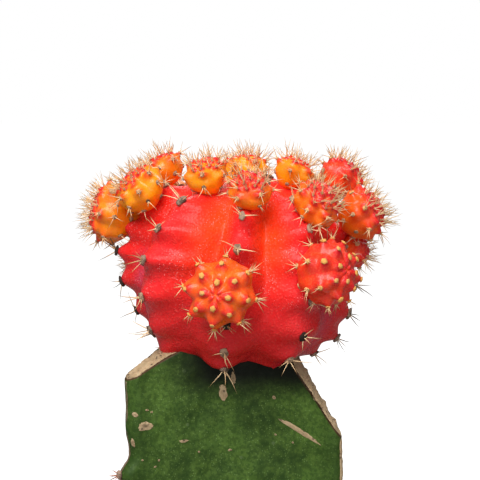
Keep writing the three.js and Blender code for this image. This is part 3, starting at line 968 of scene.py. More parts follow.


# The globe's flesh: red that lightens upwards, partly as painted shade, orange creases in its upper
# valleys, a pink bloom in some of the lower ones that is partly a painted sheen, pink crests, darker
# patches, pale papillae, painted highlight glints, and a dark pit round each areole.
def makeGlobeFlesh():
    look = globeLook
    material, tree, sockets, place = newMaterial("globeFlesh", look["shader"])
    along, share, tip, glow = (readValue(tree, name) for name in ("along", "share", "tip", "glow"))
    patches = mottleMask(tree, place, look["patchSize"])
    fine = mottleMask(tree, place, look["fineSize"])
    dots = placeGroup(tree, papillae, place, look["papillae"])
    colour = ramp(tree, along, look["skin"])
    crease = product(tree, fade(tree, share, *look["creaseAcross"]), fade(tree, along, *look["creaseUp"]))
    crease = product(tree, crease, fade(tree, patches, *look["creasePatches"]), glow)
    colour = mixColours(tree, crease, colour, look["crease"])
    crest = fade(tree, share, *look["crestAcross"])
    colour = tint(tree, colour, crest, look["crestStrength"], look["crest"])
    streaks = grainOutputs(tree, place, look["streakSize"], look["streakHeight"])["Mask"]
    # A mauve bloom in the lower side valleys, partly real wax and partly a painted sheen.
    bloom = product(tree, fade(tree, share, *look["sheenBloomAcross"]), fade(tree, along, *look["sheenBloomUp"]))
    bloom = product(tree, bloom, fade(tree, glow, *look["sheenBloomGlow"]))
    bloom = product(tree, bloom, fade(tree, streaks, *look["sheenBloomStreaks"]))
    colour = tint(tree, colour, bloom, look["bloomStrength"], look["bloom"])
    colour = tint(tree, colour, patches, look["patchStrength"], look["patch"])
    colour = tint(tree, colour, product(tree, dots["Dots"], fine), look["dotStrength"], look["dots"])
    # Painted glints: pale pink highlight specks in patches, fading in up the globe.
    paintedGlints = specksMask(tree, place, look["paintedGlintSpacing"], look["paintedGlintSize"], look["paintedGlintShare"])
    paintedGlints = product(tree, paintedGlints, fade(tree, patches, *look["paintedGlintPatches"]))
    paintedGlints = product(tree, paintedGlints, fade(tree, along, *look["paintedGlintUp"]))
    colour = tint(tree, colour, paintedGlints, look["paintedGlintStrength"], look["paintedGlints"])
    colour = tint(tree, colour, fade(tree, tip, *look["pitTip"]), look["pitStrength"], look["pit"])
    roughness = between(tree, fine, *look["roughness"])
    feed(tree, sockets, {"Base Color": colour, "Roughness": roughness, "Normal": dots["Normal"]})
    return material


offsetLook = {
    "shader": {
        "Coat Weight": 0.14,
        "Coat Roughness": 0.16,
        "Subsurface Weight": 0.15,
        "Subsurface Scale": 0.0012,
        "Subsurface Radius": (1.0, 0.4, 0.12),
        "Specular IOR Level": 0.25,
    },
    "skin": [
        (0.0, tone(242, 160, 14)),
        (0.24, tone(241, 130, 16)),
        (0.46, tone(238, 88, 22)),
        (0.68, tone(230, 50, 32)),
        (1.0, tone(206, 26, 36)),
    ],
    "patchSize": 0.0024,
    "papillae": {"Spacing": 0.00034, "Height": 0.00002},
    "dotStrength": 0.1,
    "dots": tone(255, 190, 120),
    "yellow": 0.28,
    "redUp": 0.42,
    "redTip": (0.1, 0.8),
    "redTipUp": (0.45, 0.8),
    "redTipStrength": (0.62, 0.3),
    "warmUp": (0.55, 0.85),
    "warmStrength": 0.12,
    "redRipe": 0.8,
    "redPatches": 0.14,
    "haloTip": (0.62, 0.96),
    "haloUp": (0.74, 0.6),
    "haloStrength": 0.5,
    "halo": tone(246, 128, 46),
    "roughness": (0.26, 0.38),
}


# The offsets' flesh: its colour runs from yellow to red with redness, a sum of the height along the head,
# ripeness, patches and the tubercles of the crown, less some at the top of heads with pale wool.
def makeOffsetFlesh():
    look = offsetLook
    material, tree, sockets, place = newMaterial("offsetFlesh", look["shader"])
    along, tip, ripe, seenOn = (readValue(tree, name) for name in ("along", "tip", "ripe", "endOn"))
    patches = mottleMask(tree, place, look["patchSize"])
    dots = placeGroup(tree, papillae, place, look["papillae"])
    redTips = product(tree, fade(tree, tip, *look["redTip"]), fade(tree, along, *look["redTipUp"]))
    redTips = product(tree, redTips, between(tree, seenOn, *look["redTipStrength"]))
    warm = product(tree, seenOn, fade(tree, along, *look["warmUp"]), look["warmStrength"])
    redness = maths(tree, "ADD", product(tree, along, look["redUp"]), redTips)
    redness = maths(tree, "SUBTRACT", redness, warm)
    redness = maths(tree, "ADD", redness, product(tree, ripe, look["redRipe"]))
    redness = maths(tree, "ADD", redness, product(tree, patches, look["redPatches"]))
    colour = ramp(tree, maths(tree, "SUBTRACT", redness, look["yellow"]), look["skin"])
    colour = tint(tree, colour, dots["Dots"], look["dotStrength"], look["dots"])
    halo = product(tree, fade(tree, tip, *look["haloTip"]), fade(tree, along, *look["haloUp"]))
    colour = tint(tree, colour, halo, look["haloStrength"], look["halo"])
    roughness = between(tree, patches, *look["roughness"])
    feed(tree, sockets, {"Base Color": colour, "Roughness": roughness, "Normal": dots["Normal"]})
    return material


woolLook = {
    "shader": {"Specular IOR Level": 0.2, "Roughness": 0.9},
    "fibreSize": 0.00022,
    "fibreHeight": 0.00016,
    "fibreStrength": 0.35,
    "fibres": tone(150, 122, 96),
    "shades": [
        (0.0, tone(26, 20, 18)),
        (0.12, tone(84, 68, 58)),
        (0.3, tone(164, 138, 120)),
        (0.65, tone(216, 178, 134)),
        (1.0, tone(232, 172, 92)),
    ],
    "blotSize": 0.0009,
    "blots": (0.5, 0.9),
    "oldShades": (0.7, 0.3),
    "agedStrength": 0.7,
    "aged": tone(70, 54, 44),
}


# Felt for the woolly cushions: the shade runs from dark old wool to pale young wool, and old wool
# is blotted. Its near-black end is also painted shade for cushions at the globe's sides.
def makeWool():
    look = woolLook
    material, tree, sockets, place = newMaterial("areoleWool", look["shader"])
    shade = readValue(tree, "shade")
    fibres = grainOutputs(tree, place, look["fibreSize"], look["fibreHeight"])
    blots = fade(tree, mottleMask(tree, place, look["blotSize"]), *look["blots"])
    aged = product(tree, fade(tree, shade, *look["oldShades"]), blots)
    colour = tint(tree, ramp(tree, shade, look["shades"]), aged, look["agedStrength"], look["aged"])
    fibrous = product(tree, fibres["Mask"], look["fibreStrength"])
    colour = mixColours(tree, fibrous, colour, look["fibres"], "MULTIPLY")
    feed(tree, sockets, {"Base Color": colour, "Normal": fibres["Normal"]})
    return material


# Colours of spines at the root, the middle and the tip, and what they share: how much the height and the
# shade darken them, where the three colours lie, and their fine streaks.
paleHornColours = [tone(244, 212, 164), tone(194, 150, 98), tone(46, 32, 22)]
brownHornColours = [tone(190, 128, 92), tone(158, 92, 62), tone(66, 40, 30)]
hornLook = {
    "shader": {"Roughness": 0.42},
    "byHeight": 0.8,
    "byShade": 0.5,
    "places": (0.42, 0.74, 0.98),
    "streakSize": 0.0006,
    "streakHeight": 0.00001,
    "streakStrength": 0.2,
}


# Horny spines: pale at the root and brown at the tip. Spines with a high shade are darker all along, and on
# the globe's sides that shade is painted shade.
def makeSpineHorn(name, colours):
    look = hornLook
    material, tree, sockets, place = newMaterial(name, look["shader"])
    byHeight = product(tree, readValue(tree, "height"), look["byHeight"])
    byShade = product(tree, readValue(tree, "shade"), look["byShade"])
    reached = maths(tree, "ADD", byHeight, byShade)
    streaks = grainOutputs(tree, place, look["streakSize"], look["streakHeight"])
    colour = ramp(tree, reached, list(zip(look["places"], colours)))
    colour = tint(tree, colour, streaks["Mask"], look["streakStrength"], colours[1])
    feed(tree, sockets, {"Base Color": colour, "Normal": streaks["Normal"]})
    return material


globeFlesh = makeGlobeFlesh()
offsetFlesh = makeOffsetFlesh()
areoleWool = makeWool()
paleHorn = makeSpineHorn("paleHorn", paleHornColours)
brownHorn = makeSpineHorn("brownHorn", brownHornColours)
print("head materials made")


# The heads, their wool and their spines. Spine radii and wool sizes are millimetres, leans are degrees.

globeSpineStyle = {
    "each": 4, "sides": 4, "lean": (24, 76), "radius": 0.13, "length": (3.9, 5.2), "bend": 0.2,
    "scatter": 0.05, "shade": (-0.3, 0.3),
}
sideSpineStyle = {
    "each": 6, "sides": 4, "lean": (20, 62), "radius": 0.09, "length": (2.3, 3.3), "bend": 0.1,
    "scatter": 0.05, "shade": (0.0, 0.6),
}
crownSpineStyle = {
    "each": 4, "sides": 3, "lean": (8, 44), "radius": 0.098, "length": (2.5, 4.0), "bend": 0.09,
    "scatter": 0.07, "shade": (0.0, 0.5),
}
globeWoolStyle = {"size": 0.72, "long": 1.45, "tall": 0.55, "raised": 0.08, "rows": 6, "columns": 14}
sideWoolStyle = {"long": 1.15, "tall": 0.45, "raised": 0.03, "rows": 6, "columns": 14}
crownWoolStyle = {**sideWoolStyle, "size": 0.2, "rows": 4, "columns": 8}

# Shades of the globe's wool. A share of the cushions at its sides, which set in between two
# distances from the middle, are painted near-black as shade, and those within reach of dark places,
# given as X and Z in front, are near-black too. Spines are painted darker as shade between two
# distances of their own from the middle.
globeAreoles = {
    "shades": (0.24, 0.42),
    "sides": (17.5, 20.0),
    "shadedSideShare": 0.8,
    "paintedSideShade": 0.05,
    "darkPlaces": [(11.5, 140.5), (-1.6, 142.7)],
    "darkReach": 1.8,
    "darkShade": 0.03,
    "shadedSpineSides": (14.0, 18.0),
    "spineSeed": 7,
}

# Offsets' areoles turn from old to young between two places along the head. Each pair of shades
# is that of dark wool and what pale wool adds to it. Heads paler than endOnFrom are bare but for
# a rim of spines, which sets in and ends between two pairs of places.
offsetAreoles = {
    "youngUp": (0.35, 0.65),
    "oldShade": (0.24, 0.4),
    "youngShade": (0.4, 0.6),
    "crownShade": (0.5, 0.4),
    "shadeSpread": 0.1,
    "crownShadeSpread": 0.15,
    "oldSize": 0.42,
    "youngSize": 0.38,
    "endOnSize": 0.46,
    "oldCover": 0.2,
    "youngCover": 0.9,
    "endOnCover": 0.95,
    "rimFrom": (0.3, 0.42),
    "rimTo": (0.58, 0.7),
    "endOnFrom": 0.7,
    "crownUpright": 0.5,
    "crownSeed": 50,
}


# How much a head is one of those with pale wool, whose crown is bare.
def endOn(head):
    return smooth(head["paleness"], offsetAreoles["endOnFrom"], 1)


# Draws the shades of a head's wool: by its paleness, give or take the spread.
def woolShades(draw, head, shade, spread, count):
    return np.clip(shade[0] + shade[1] * head["paleness"] + draw.uniform(-spread, spread, count), 0, 1)


# The globe's wool and spines.
def coverGlobe(globe, offsets):
    draw = np.random.default_rng(globe["seed"])
    areoles = uncovered(areolesOf(globe), offsets)
    x, y, z = areoles["points"].T
    # Cushions far to the sides are painted near-black as shade.
    dark = draw.random(len(x)) < globeAreoles["shadedSideShare"] * smooth(np.abs(x), *globeAreoles["sides"])
    shades = np.where(dark, globeAreoles["paintedSideShade"], draw.uniform(*globeAreoles["shades"], len(x)))
    for darkX, darkZ in globeAreoles["darkPlaces"]:
        near = np.hypot(x - darkX, z - darkZ) < globeAreoles["darkReach"]
        shades = np.where(near & (y < 0), globeAreoles["darkShade"], shades)
    tufts = woolAt(areoles, globeWoolStyle, globe["seed"], shades)
    makePiece("globeWool", *woolMesh(tufts, globeWoolStyle), areoleWool, "wool")
    lengths = draw.uniform(*globeSpineStyle["length"], len(x))
    spines = spinesAt(areoles, lengths, globeAreoles["spineSeed"], globeSpineStyle)
    # Spines far to the sides are painted darker as shade.
    spines["shades"] = spines["shades"] + smooth(np.abs(spines["roots"][:, 0]), *globeAreoles["shadedSpineSides"])
    makePiece("globeSpines", *spineMesh(spines, globeSpineStyle), paleHorn, "spine")


# The wool and spines of one offset's ribs.
def coverRibs(draw, head, others):
    look = offsetAreoles
    areoles = uncovered(areolesOf(head), others)
    count = len(areoles["points"])
    young = smooth(areoles["along"], *look["youngUp"])
    shade = [lerp(old, new, young) for old, new in zip(look["oldShade"], look["youngShade"])]
    shades = woolShades(draw, head, shade, look["shadeSpread"], count)
    size = lerp(lerp(look["oldSize"], look["youngSize"], young), look["endOnSize"], endOn(head))
    tufts = woolAt(areoles, {**sideWoolStyle, "size": size}, head["seed"], shades)
    lengths = draw.uniform(*sideSpineStyle["length"], count)
    rim = smooth(areoles["along"], *look["rimFrom"]) * (1 - smooth(areoles["along"], *look["rimTo"]))
    cover = lerp(look["oldCover"], look["youngCover"], young)
    cover = lerp(cover, look["endOnCover"] * rim, endOn(head))
    return tufts, spinesAt(areoles, lengths, head["seed"], sideSpineStyle, cover)


# The wool and spines of one offset's crown. Its tufts lean a share towards the head's axis.
def coverCrown(draw, head, others):
    look = offsetAreoles
    areoles = uncovered(skinPlaces(head, head["crownTurns"], head["crownAlongs"]), others)
    count = len(areoles["points"])
    areoles["normals"] = unit(areoles["normals"] + look["crownUpright"] * head["turned"][:, 2])
    lengths = draw.uniform(*crownSpineStyle["length"], count)
    seed = head["seed"] + look["crownSeed"]
    spines = spinesAt(areoles, lengths, seed, crownSpineStyle)
    shades = woolShades(draw, head, look["crownShade"], look["crownShadeSpread"], count)
    return woolAt(areoles, crownWoolStyle, seed, shades), spines


# Adds the globe, the offsets and all that grows on them.
def makeHeads():
    globe = scionHead()
    offsets = [offsetHead(row, index) for index, row in enumerate(offsetRows)]
    makeHead("globeSkin", globe, ("along", "share", "tip", "glow"), {}, globeFlesh, "scion_skin", "scion")
    for index, head in enumerate(offsets):
        number = f"{index + 1:02d}"
        added = {"ripe": head["ripeness"], "endOn": endOn(head)}
        name, node = "offsetSkin_" + number, "offset_" + number
        makeHead(name, head, ("along", "tip"), added, offsetFlesh, "offset_skin", node)
    coverGlobe(globe, offsets)

    ribs, crowns = [], []
    for index, head in enumerate(offsets):
        draw = np.random.default_rng(head["seed"])
        others = [globe] + offsets[:index] + offsets[index + 1:]
        ribs.append(coverRibs(draw, head, others))
        if len(head["crown"]):
            crowns.append(coverCrown(draw, head, others))
    sideTufts, sideSpines = (joined(parts) for parts in zip(*ribs))
    crownTufts, crownSpines = (joined(parts) for parts in zip(*crowns))
    makePiece("offsetWool", *woolMesh(sideTufts, sideWoolStyle), areoleWool, "wool")
    makePiece("crownWool", *woolMesh(crownTufts, crownWoolStyle), areoleWool, "wool")
    makePiece("offsetSpines", *spineMesh(sideSpines, sideSpineStyle), paleHorn, "spine")
    makePiece("crownSpines", *spineMesh(crownSpines, crownSpineStyle), paleHorn, "spine")


makeHeads()
print("heads made")


# Rootstock: the three-winged stem, its corky shoulders, scars and margin areoles

# The stem narrows to buriedShare in the soil and is whole again widening above it. Its margins swell where
# the outline lies between the two distances of swell from the axis, and its faces' relief fades out within
# the two depths of relief below the graft. Edge is how far round from a wing the skin counts as its edge.
rootstock = {
    "bottom": 18.0,
    "tipTurn": 72.0,
    "faceDepth": 8.6,
    "buriedShare": 0.84,
    "buriedTop": 64.8,
    "widening": 26.0,
    "bump": 1.1,
    "bumpReach": 1.8,
    "notch": 0.8,
    "notchAbove": 3.8,
    "notchReach": 2.6,
    "wave": 0.35,
    "waveRate": 0.19,
    "swell": (16.0, 22.0),
    "wingCosine": 0.9,
    "creases": [0.41, 0.52, 0.47],
    "creaseDepth": 0.5,
    "creaseWidth": 0.1,
    "relief": (2, 12),
    "edge": 0.12,
    "farFromCut": 9.0,
    "lumps": [(16.0, 0.22), (5.0, 0.07), (1.8, 0.025)],
    "tipColumns": 24,
    "faceColumns": 84,
    "fineBelow": 5.0,
    "buriedRows": 12,
    "rows": 210,
    "seed": 21,
}

# Wings: direction in degrees anticlockwise from +X, reach and tip radius, where the shoulder cut
# starts, how steeply it falls and how far it is turned off the wing's direction, the depths of
# the areoles below the graft, the share of the cut that is cork, the half width of the corky line
# down the margin, and how dark that line is.
wings = [
    {"direction": 210, "reach": 22.7, "tip": 2.2, "cutAt": 11.4, "slope": 28, "turn": 0,
     "areoles": [23.2, 52], "corkShare": 0.8, "lineWidth": 0.2, "lineDark": 0.75},
    {"direction": 330, "reach": 21.5, "tip": 1.5, "cutAt": 9.0, "slope": 55.3, "turn": 20,
     "areoles": [33, 60], "corkShare": 0.9, "lineWidth": 0.42, "lineDark": 0.1},
    {"direction": 90, "reach": 22.0, "tip": 2.0, "cutAt": 11.0, "slope": 40, "turn": 0,
     "areoles": [20, 46], "corkShare": 0.88, "lineWidth": 0.32, "lineDark": 0.4},
]


# The stem's outline: round wing tips joined by faces. A face is a quadratic Bezier curve that dips to
# faceDepth from the axis. Also gives each point's share of the way over its face, and its wing or, on the
# face after a wing, minus 1 less that wing.
def stemOutline():
    turns = np.linspace(-rootstock["tipTurn"], rootstock["tipTurn"], rootstock["tipColumns"])
    tips = []
    for wing in wings:
        centre = (wing["reach"] - wing["tip"]) * heading(wing["direction"])
        tips.append(centre + wing["tip"] * heading(wing["direction"] + turns))
    share = (np.arange(rootstock["faceColumns"]) + 1) / (rootstock["faceColumns"] + 1)
    points, shares, owners = [], [], []
    for index, tip in enumerate(tips):
        start, end = tip[-1], tips[(index + 1) % len(tips)][0]
        middle = (start + end) / 2
        bend = unit(middle) * (2 * rootstock["faceDepth"] - np.linalg.norm(middle))
        t = share[:, None]
        points += [tip, (1 - t) ** 2 * start + 2 * t * (1 - t) * bend + t ** 2 * end]
        shares += [np.zeros(len(tip)), share]
        owners += [np.full(len(tip), index), np.full(len(share), -1 - index)]
    return np.concatenate(points), np.concatenate(shares), np.concatenate(owners)


# How far a wing's margin swells out: a Gaussian bump at each areole, a shallow Gaussian notch
# above it, and a slow sine wave.
def marginSwell(wing, heights):
    below = graftHeight - heights
    swell = rootstock["wave"] * np.sin(below * rootstock["waveRate"] + wing["direction"])
    for depth in wing["areoles"]:
        swell = swell + rootstock["bump"] * bell(below - depth, rootstock["bumpReach"])
        notch = bell(below - depth + rootstock["notchAbove"], rootstock["notchReach"])
        swell = swell - rootstock["notch"] * notch
    return np.where(heights > rootstock["buriedTop"], swell, 0)


# The stem's width at heights, as a share of its full width: level in the soil, and rising
# smoothly above it.
def stemShare(heights):
    widened = smooth(heights, rootstock["buriedTop"], rootstock["buriedTop"] + rootstock["widening"])
    return lerp(rootstock["buriedShare"], 1, widened)


# The stem's skin before its cuts: the outline at each height, swollen at the margins, creased
# along each face by a Gaussian, and with lumps.
def uncutStem(outline, shares, owners):
    fineFrom = rootstock["buriedTop"] - rootstock["fineBelow"]
    low = np.linspace(rootstock["bottom"], fineFrom, rootstock["buriedRows"], endpoint=False)
    heights = np.concatenate([low, np.linspace(fineFrom, graftHeight, rootstock["rows"])])
    flat = outline[None] * stemShare(heights)[:, None, None]
    distance = np.linalg.norm(flat, axis=-1)
    swell = np.zeros(distance.shape)
    for wing in wings:
        near = unit(outline) @ heading(wing["direction"]) > rootstock["wingCosine"]
        swell += near * marginSwell(wing, heights)[:, None]
    flat = flat * (1 + smooth(distance, *rootstock["swell"]) * swell / distance)[..., None]
    along = np.roll(outline, -1, 0) - np.roll(outline, 1, 0)
    outward = unit(np.stack([along[:, 1], -along[:, 0]], -1))
    inset = np.zeros(len(outline))
    for index, place in enumerate(rootstock["creases"]):
        onFace = owners == -1 - index
        inset += rootstock["creaseDepth"] * bell(shares - place, rootstock["creaseWidth"]) * onFace
    points = np.dstack([flat, np.broadcast_to(heights[:, None], distance.shape)])
    relief = lumpHeight(points, rootstock["lumps"], rootstock["seed"])
    relief = relief - inset[None] * smooth(graftHeight - heights, *rootstock["relief"])[:, None]
    points[..., :2] += relief[..., None] * outward
    return points


# The stem's whole skin, with each point moved in along a wing's direction on to that wing's shoulder cut, a
# plane that slopes down and outwards. Its values are the distance from the cuts and how much it is an edge.
def stemSkin():
    outline, shares, owners = stemOutline()
    points = uncutStem(outline, shares, owners)
    cut = np.full(points.shape[:2], rootstock["farFromCut"])
    for wing in wings:
        direction = heading(wing["direction"] + wing["turn"])
        limit = wing["cutAt"] + (graftHeight - points[..., 2]) / math.tan(math.radians(wing["slope"]))
        past = points[..., :2] @ direction - limit
        points[..., :2] -= np.maximum(past, 0)[..., None] * direction
        cut = np.minimum(cut, -past)
    beside = np.maximum(1 - np.minimum(shares, 1 - shares) / rootstock["edge"], 0)
    edge = np.where(owners >= 0, 1.0, beside)
    return points, {"cut": cut, "edge": np.broadcast_to(edge, cut.shape)}


# The stem's skin as a piece, closed by a pole at its foot and one at the graft.
def makeStem():
    points, values = stemSkin()
    rows, columns = points.shape[:2]
    poles = np.array([[0, 0, rootstock["bottom"]], [0, 0, graftHeight]])
    points = np.concatenate([points.reshape(-1, 3), poles])
    atPoles = {"cut": rootstock["farFromCut"], "edge": 0}
    values = {key: np.append(values[key], [atPole] * 2) for key, atPole in atPoles.items()}
    piece = makePiece("stemSkin", points, skinFaces(rows, columns), values, stemGreen, "rootstock_skin")
    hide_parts("rootstock")


# The cork runs from startInside, on the flat top, over the cut, and leaves it short of the wing's reach.
# It then goes down the margin to lineEnd, and turns from its thickness and colour on the cut into those
# of the line within spread. Its edge is frayed, and the line keeps lineRagged of the lumps and fraying.
cork = {
    "startInside": 2.0,
    "short": 0.5,
    "lineEnd": 58.0,
    "lineStep": 0.6,
    "step": 0.24,
    "softened": 5,
    "spread": 1.6,
    "thick": 0.34,
    "lineThick": 0.15,
    "leastWidth": 1.2,
    "wingCosine": 0.8,
    "roundPower": 0.7,
    "lumps": [(1.6, 0.13), (0.55, 0.06)],
    "lineRagged": 0.35,
    "fray": (2.4, 0.22),
    "fraySeed": 10,
    "dark": 0.12,
    "columns": 36,
    "seed": 31,
}


# A value's size to a power, with its sign kept.
def signedPower(value, power):
    return np.sign(value) * np.abs(value) ** power


# The path of a wing's cork, as points of reach and height: flat, then on the cut, then down the wing tip.
# It is softened by a running mean. Also gives each point's way along it, and where the cut starts and ends.
def corkPath(wing, cutAt, slope):
    endHeight = graftHeight - (wing["reach"] - cutAt) * slope
    corners = [
        (cutAt - cork["startInside"], graftHeight),
        (cutAt, graftHeight),
        (wing["reach"] - cork["short"], endHeight + cork["short"] * slope),
    ]
    down = np.arange(endHeight - cork["lineStep"], cork["lineEnd"], -cork["lineStep"])
    reach = wing["reach"] * stemShare(down) + marginSwell(wing, down)
    path = np.concatenate([corners, np.stack([reach, down], -1)])
    lengths = pathLengths(path)
    steps = np.arange(0, lengths[-1], cork["step"])
    path = alongPath(path, lengths, steps)
    mean = np.ones(cork["softened"]) / cork["softened"]
    edge = cork["softened"] // 2
    path[edge:-edge] = np.stack([np.convolve(path[:, axis], mean, "valid") for axis in (0, 1)], -1)
    return path, steps, lengths[1], lengths[2]


# The half width of the stem's wing at reaches along its direction.
def wingHalfWidth(direction, sideways, reaches):
    outline = stemOutline()[0]
    onWing = unit(outline) @ direction > cork["wingCosine"]
    order = np.argsort(outline[onWing] @ direction)
    known = (outline[onWing] @ direction)[order]
    return np.interp(reaches, known, np.abs(outline[onWing] @ sideways)[order])


# One wing's cork: it covers the shoulder cut and runs on down the margin as a thin line. The
# cross-section is a superellipse, cosine and sine to a power, of a half width and a half
# thickness that fall from those of the cut to those of the line. On a turned cut it leans
# sideways by the slope times the sine of the turn.
def corkSkin(wing, index):
    direction = heading(wing["direction"])
    sideways = np.array([-direction[1], direction[0]])
    turn = math.radians(wing["turn"])
    steepness = math.tan(math.radians(wing["slope"]))
    cutAt, slope = wing["cutAt"] / math.cos(turn), steepness * math.cos(turn)
    path, steps, cutStart, cutEnd = corkPath(wing, cutAt, slope)
    tangent = unit(np.gradient(path, axis=0))
    normal = np.stack([-tangent[:, 1], tangent[:, 0]], -1)
    line = smooth(steps, cutEnd - cork["spread"], cutEnd + cork["spread"])
    cutWidth = wingHalfWidth(direction, sideways, path[:, 0]) * wing["corkShare"]
    width = lerp(np.maximum(cutWidth, cork["leastWidth"]), wing["lineWidth"], line)
    thick = lerp(cork["thick"], cork["lineThick"], line)
    angles = circleAngles(cork["columns"])
    across = signedPower(np.cos(angles), cork["roundPower"])
    rise = thick[:, None] * signedPower(np.sin(angles), cork["roundPower"])
    side = width[:, None] * across
    onCut = smooth(steps, 0, cutStart + 1) * (1 - line)
    out = path[:, 0, None] + normal[:, 0, None] * rise
    up = path[:, 1, None] + normal[:, 1, None] * rise - steepness * math.sin(turn) * side * onCut[:, None]
    points = np.dstack([out[..., None] * direction + side[..., None] * sideways, up])
    ragged = lerp(1, cork["lineRagged"], line)[:, None]
    for size, height in cork["lumps"]:
        shift = height * waves(points, size, cork["seed"] + index) * ragged
        points[..., :2] += (shift * normal[:, 0, None])[..., None] * direction
        points[..., 2] += shift * normal[:, 1, None]
    fray = lumpHeight(points, [cork["fray"]], cork["seed"] + cork["fraySeed"] + index) * ragged * across
    points[..., :2] += fray[..., None] * sideways
    dark = lerp(cork["dark"], wing["lineDark"], line)[:, None] + np.zeros(cork["columns"])
    ends = np.array([[*(direction * path[end, 0]), path[end, 1]] for end in (-1, 0)])
    return points[::-1], ends, dark[::-1]


# The three wings' cork as one piece.
def makeCork():
    skins, darks = [], []
    for index, wing in enumerate(wings):
        points, ends, dark = corkSkin(wing, index)
        skins.append((points, ends))
        darks += [dark.ravel(), dark[[0, -1], 0]]
    makePiece("stemCork", *joinedSkins(skins), {"dark": np.concatenate(darks)}, stemCork, "cork")


# Scars on a face: face 0 is the front one and the others follow anticlockwise; sideways place and height,
# half length, half width, tilt in degrees, how much narrower the far end is, and darkness of the middle.
scars = [
    (0, -2.35, 128.0, 1.5, 0.95, 98, 0.1, 0.25),
    (0, -0.5, 130.7, 1.2, 0.5, 94, 0.2, 0.3),
    (0, -16.1, 122.7, 1.2, 1.1, 8, 0.1, 0.7),
    (0, -17.9, 124.9, 0.66, 0.52, -20, 0.2, 0.2),
    (0, -15.8, 125.6, 0.32, 0.24, 0, 0.2, 0.0),
    (0, -15.0, 125.2, 0.26, 0.2, 30, 0.2, 0.0),
    (0, -18.4, 119.7, 0.95, 0.42, 100, 0.2, 0.2),
    (0, -9.3, 119.4, 0.95, 0.42, 3, 0.7, 0.3),
    (0, 11.6, 121.1, 4.5, 0.62, -30, 0.45, 0.0),
    (0, 6.8, 127.2, 0.36, 0.34, 0, 0.0, 0.5),
    (0, -1.1, 117.3, 0.4, 0.28, 10, 0.3, 0.0),
    (0, -6.7, 117.2, 0.22, 0.2, 0, 0.0, 0.0),
    (0, 7.1, 120.3, 0.2, 0.2, 0, 0.0, 0.3),
    (0, 10.2, 119.0, 0.22, 0.18, 0, 0.0, 0.3),
    (0, -13.8, 116.2, 0.22, 0.2, 0, 0.0, 0.0),
    (0, -14.5, 115.1, 0.24, 0.18, 40, 0.0, 0.0),
    (0, -16.7, 116.5, 0.2, 0.2, 0, 0.0, 0.0),
    (0, 4.0, 98.0, 1.1, 0.5, 15, 0.4, 0.2),
    (0, -11.0, 88.0, 0.7, 0.5, -40, 0.2, 0.6),
    (0, 12.0, 82.0, 2.0, 0.4, 70, 0.5, 0.0),
    (1, -8.0, 118.0, 1.3, 0.7, 20, 0.3, 0.5),
    (1, 6.0, 126.0, 0.8, 0.4, 80, 0.3, 0.0),
    (1, 11.0, 104.0, 2.6, 0.4, -50, 0.5, 0.0),
    (1, 2.0, 92.0, 0.5, 0.45, 0, 0.0, 0.6),
    (2, 9.0, 121.0, 1.1, 0.6, -15, 0.3, 0.4),
    (2, -4.0, 112.0, 0.6, 0.5, 40, 0.1, 0.7),
    (2, -12.0, 100.0, 1.5, 0.5, 60, 0.4, 0.1),
    (2, 5.0, 86.0, 0.9, 0.4, 5, 0.5, 0.0),
]

# A scar's crust: its rings go from foot to middle, it is raised and dips in a dark middle, and its
# outline is ragged. Grain is the roughness of its top, and sunk is how deep its underside closes.
scarForm = {
    "rows": 9,
    "columns": 40,
    "rings": (0.97, 0.12),
    "raised": 0.13,
    "foot": 0.04,
    "grain": 0.03,
    "dip": 0.1,
    "dipWidth": 0.35,
    "sunk": 0.4,
    "ragged": 0.19,
    "waves": (2, 3, 5, 8),
    "dark": 0.1,
    "middleDark": 0.75,
    "middleWidth": 0.4,
    "rimDark": 0.5,
    "rimFrom": 0.9,
    "seed": 41,
}


# How far the skin stands out along a face's normal at places on it, between the rows below and above each.
def skinLevel(skin, normal, tangent, side, height):
    heights = skin[:, 0, 2]
    rows = np.arange(np.searchsorted(heights, height.min()) - 1, np.searchsorted(heights, height.max()) + 1)
    levels = []
    for row in rows:
        out, aside = skin[row, :, :2] @ normal, skin[row, :, :2] @ tangent
        front = np.flatnonzero(out > 0.5 * np.abs(aside))
        front = front[np.argsort(aside[front])]
        levels.append(np.interp(side, aside[front], out[front]))
    place = np.interp(height, heights[rows], np.arange(len(rows)))
    low = np.minimum(place.astype(int), len(rows) - 2)
    below, above = (np.take_along_axis(np.array(levels), (low + step)[None], 0)[0] for step in (0, 1))
    return lerp(below, above, place - low)


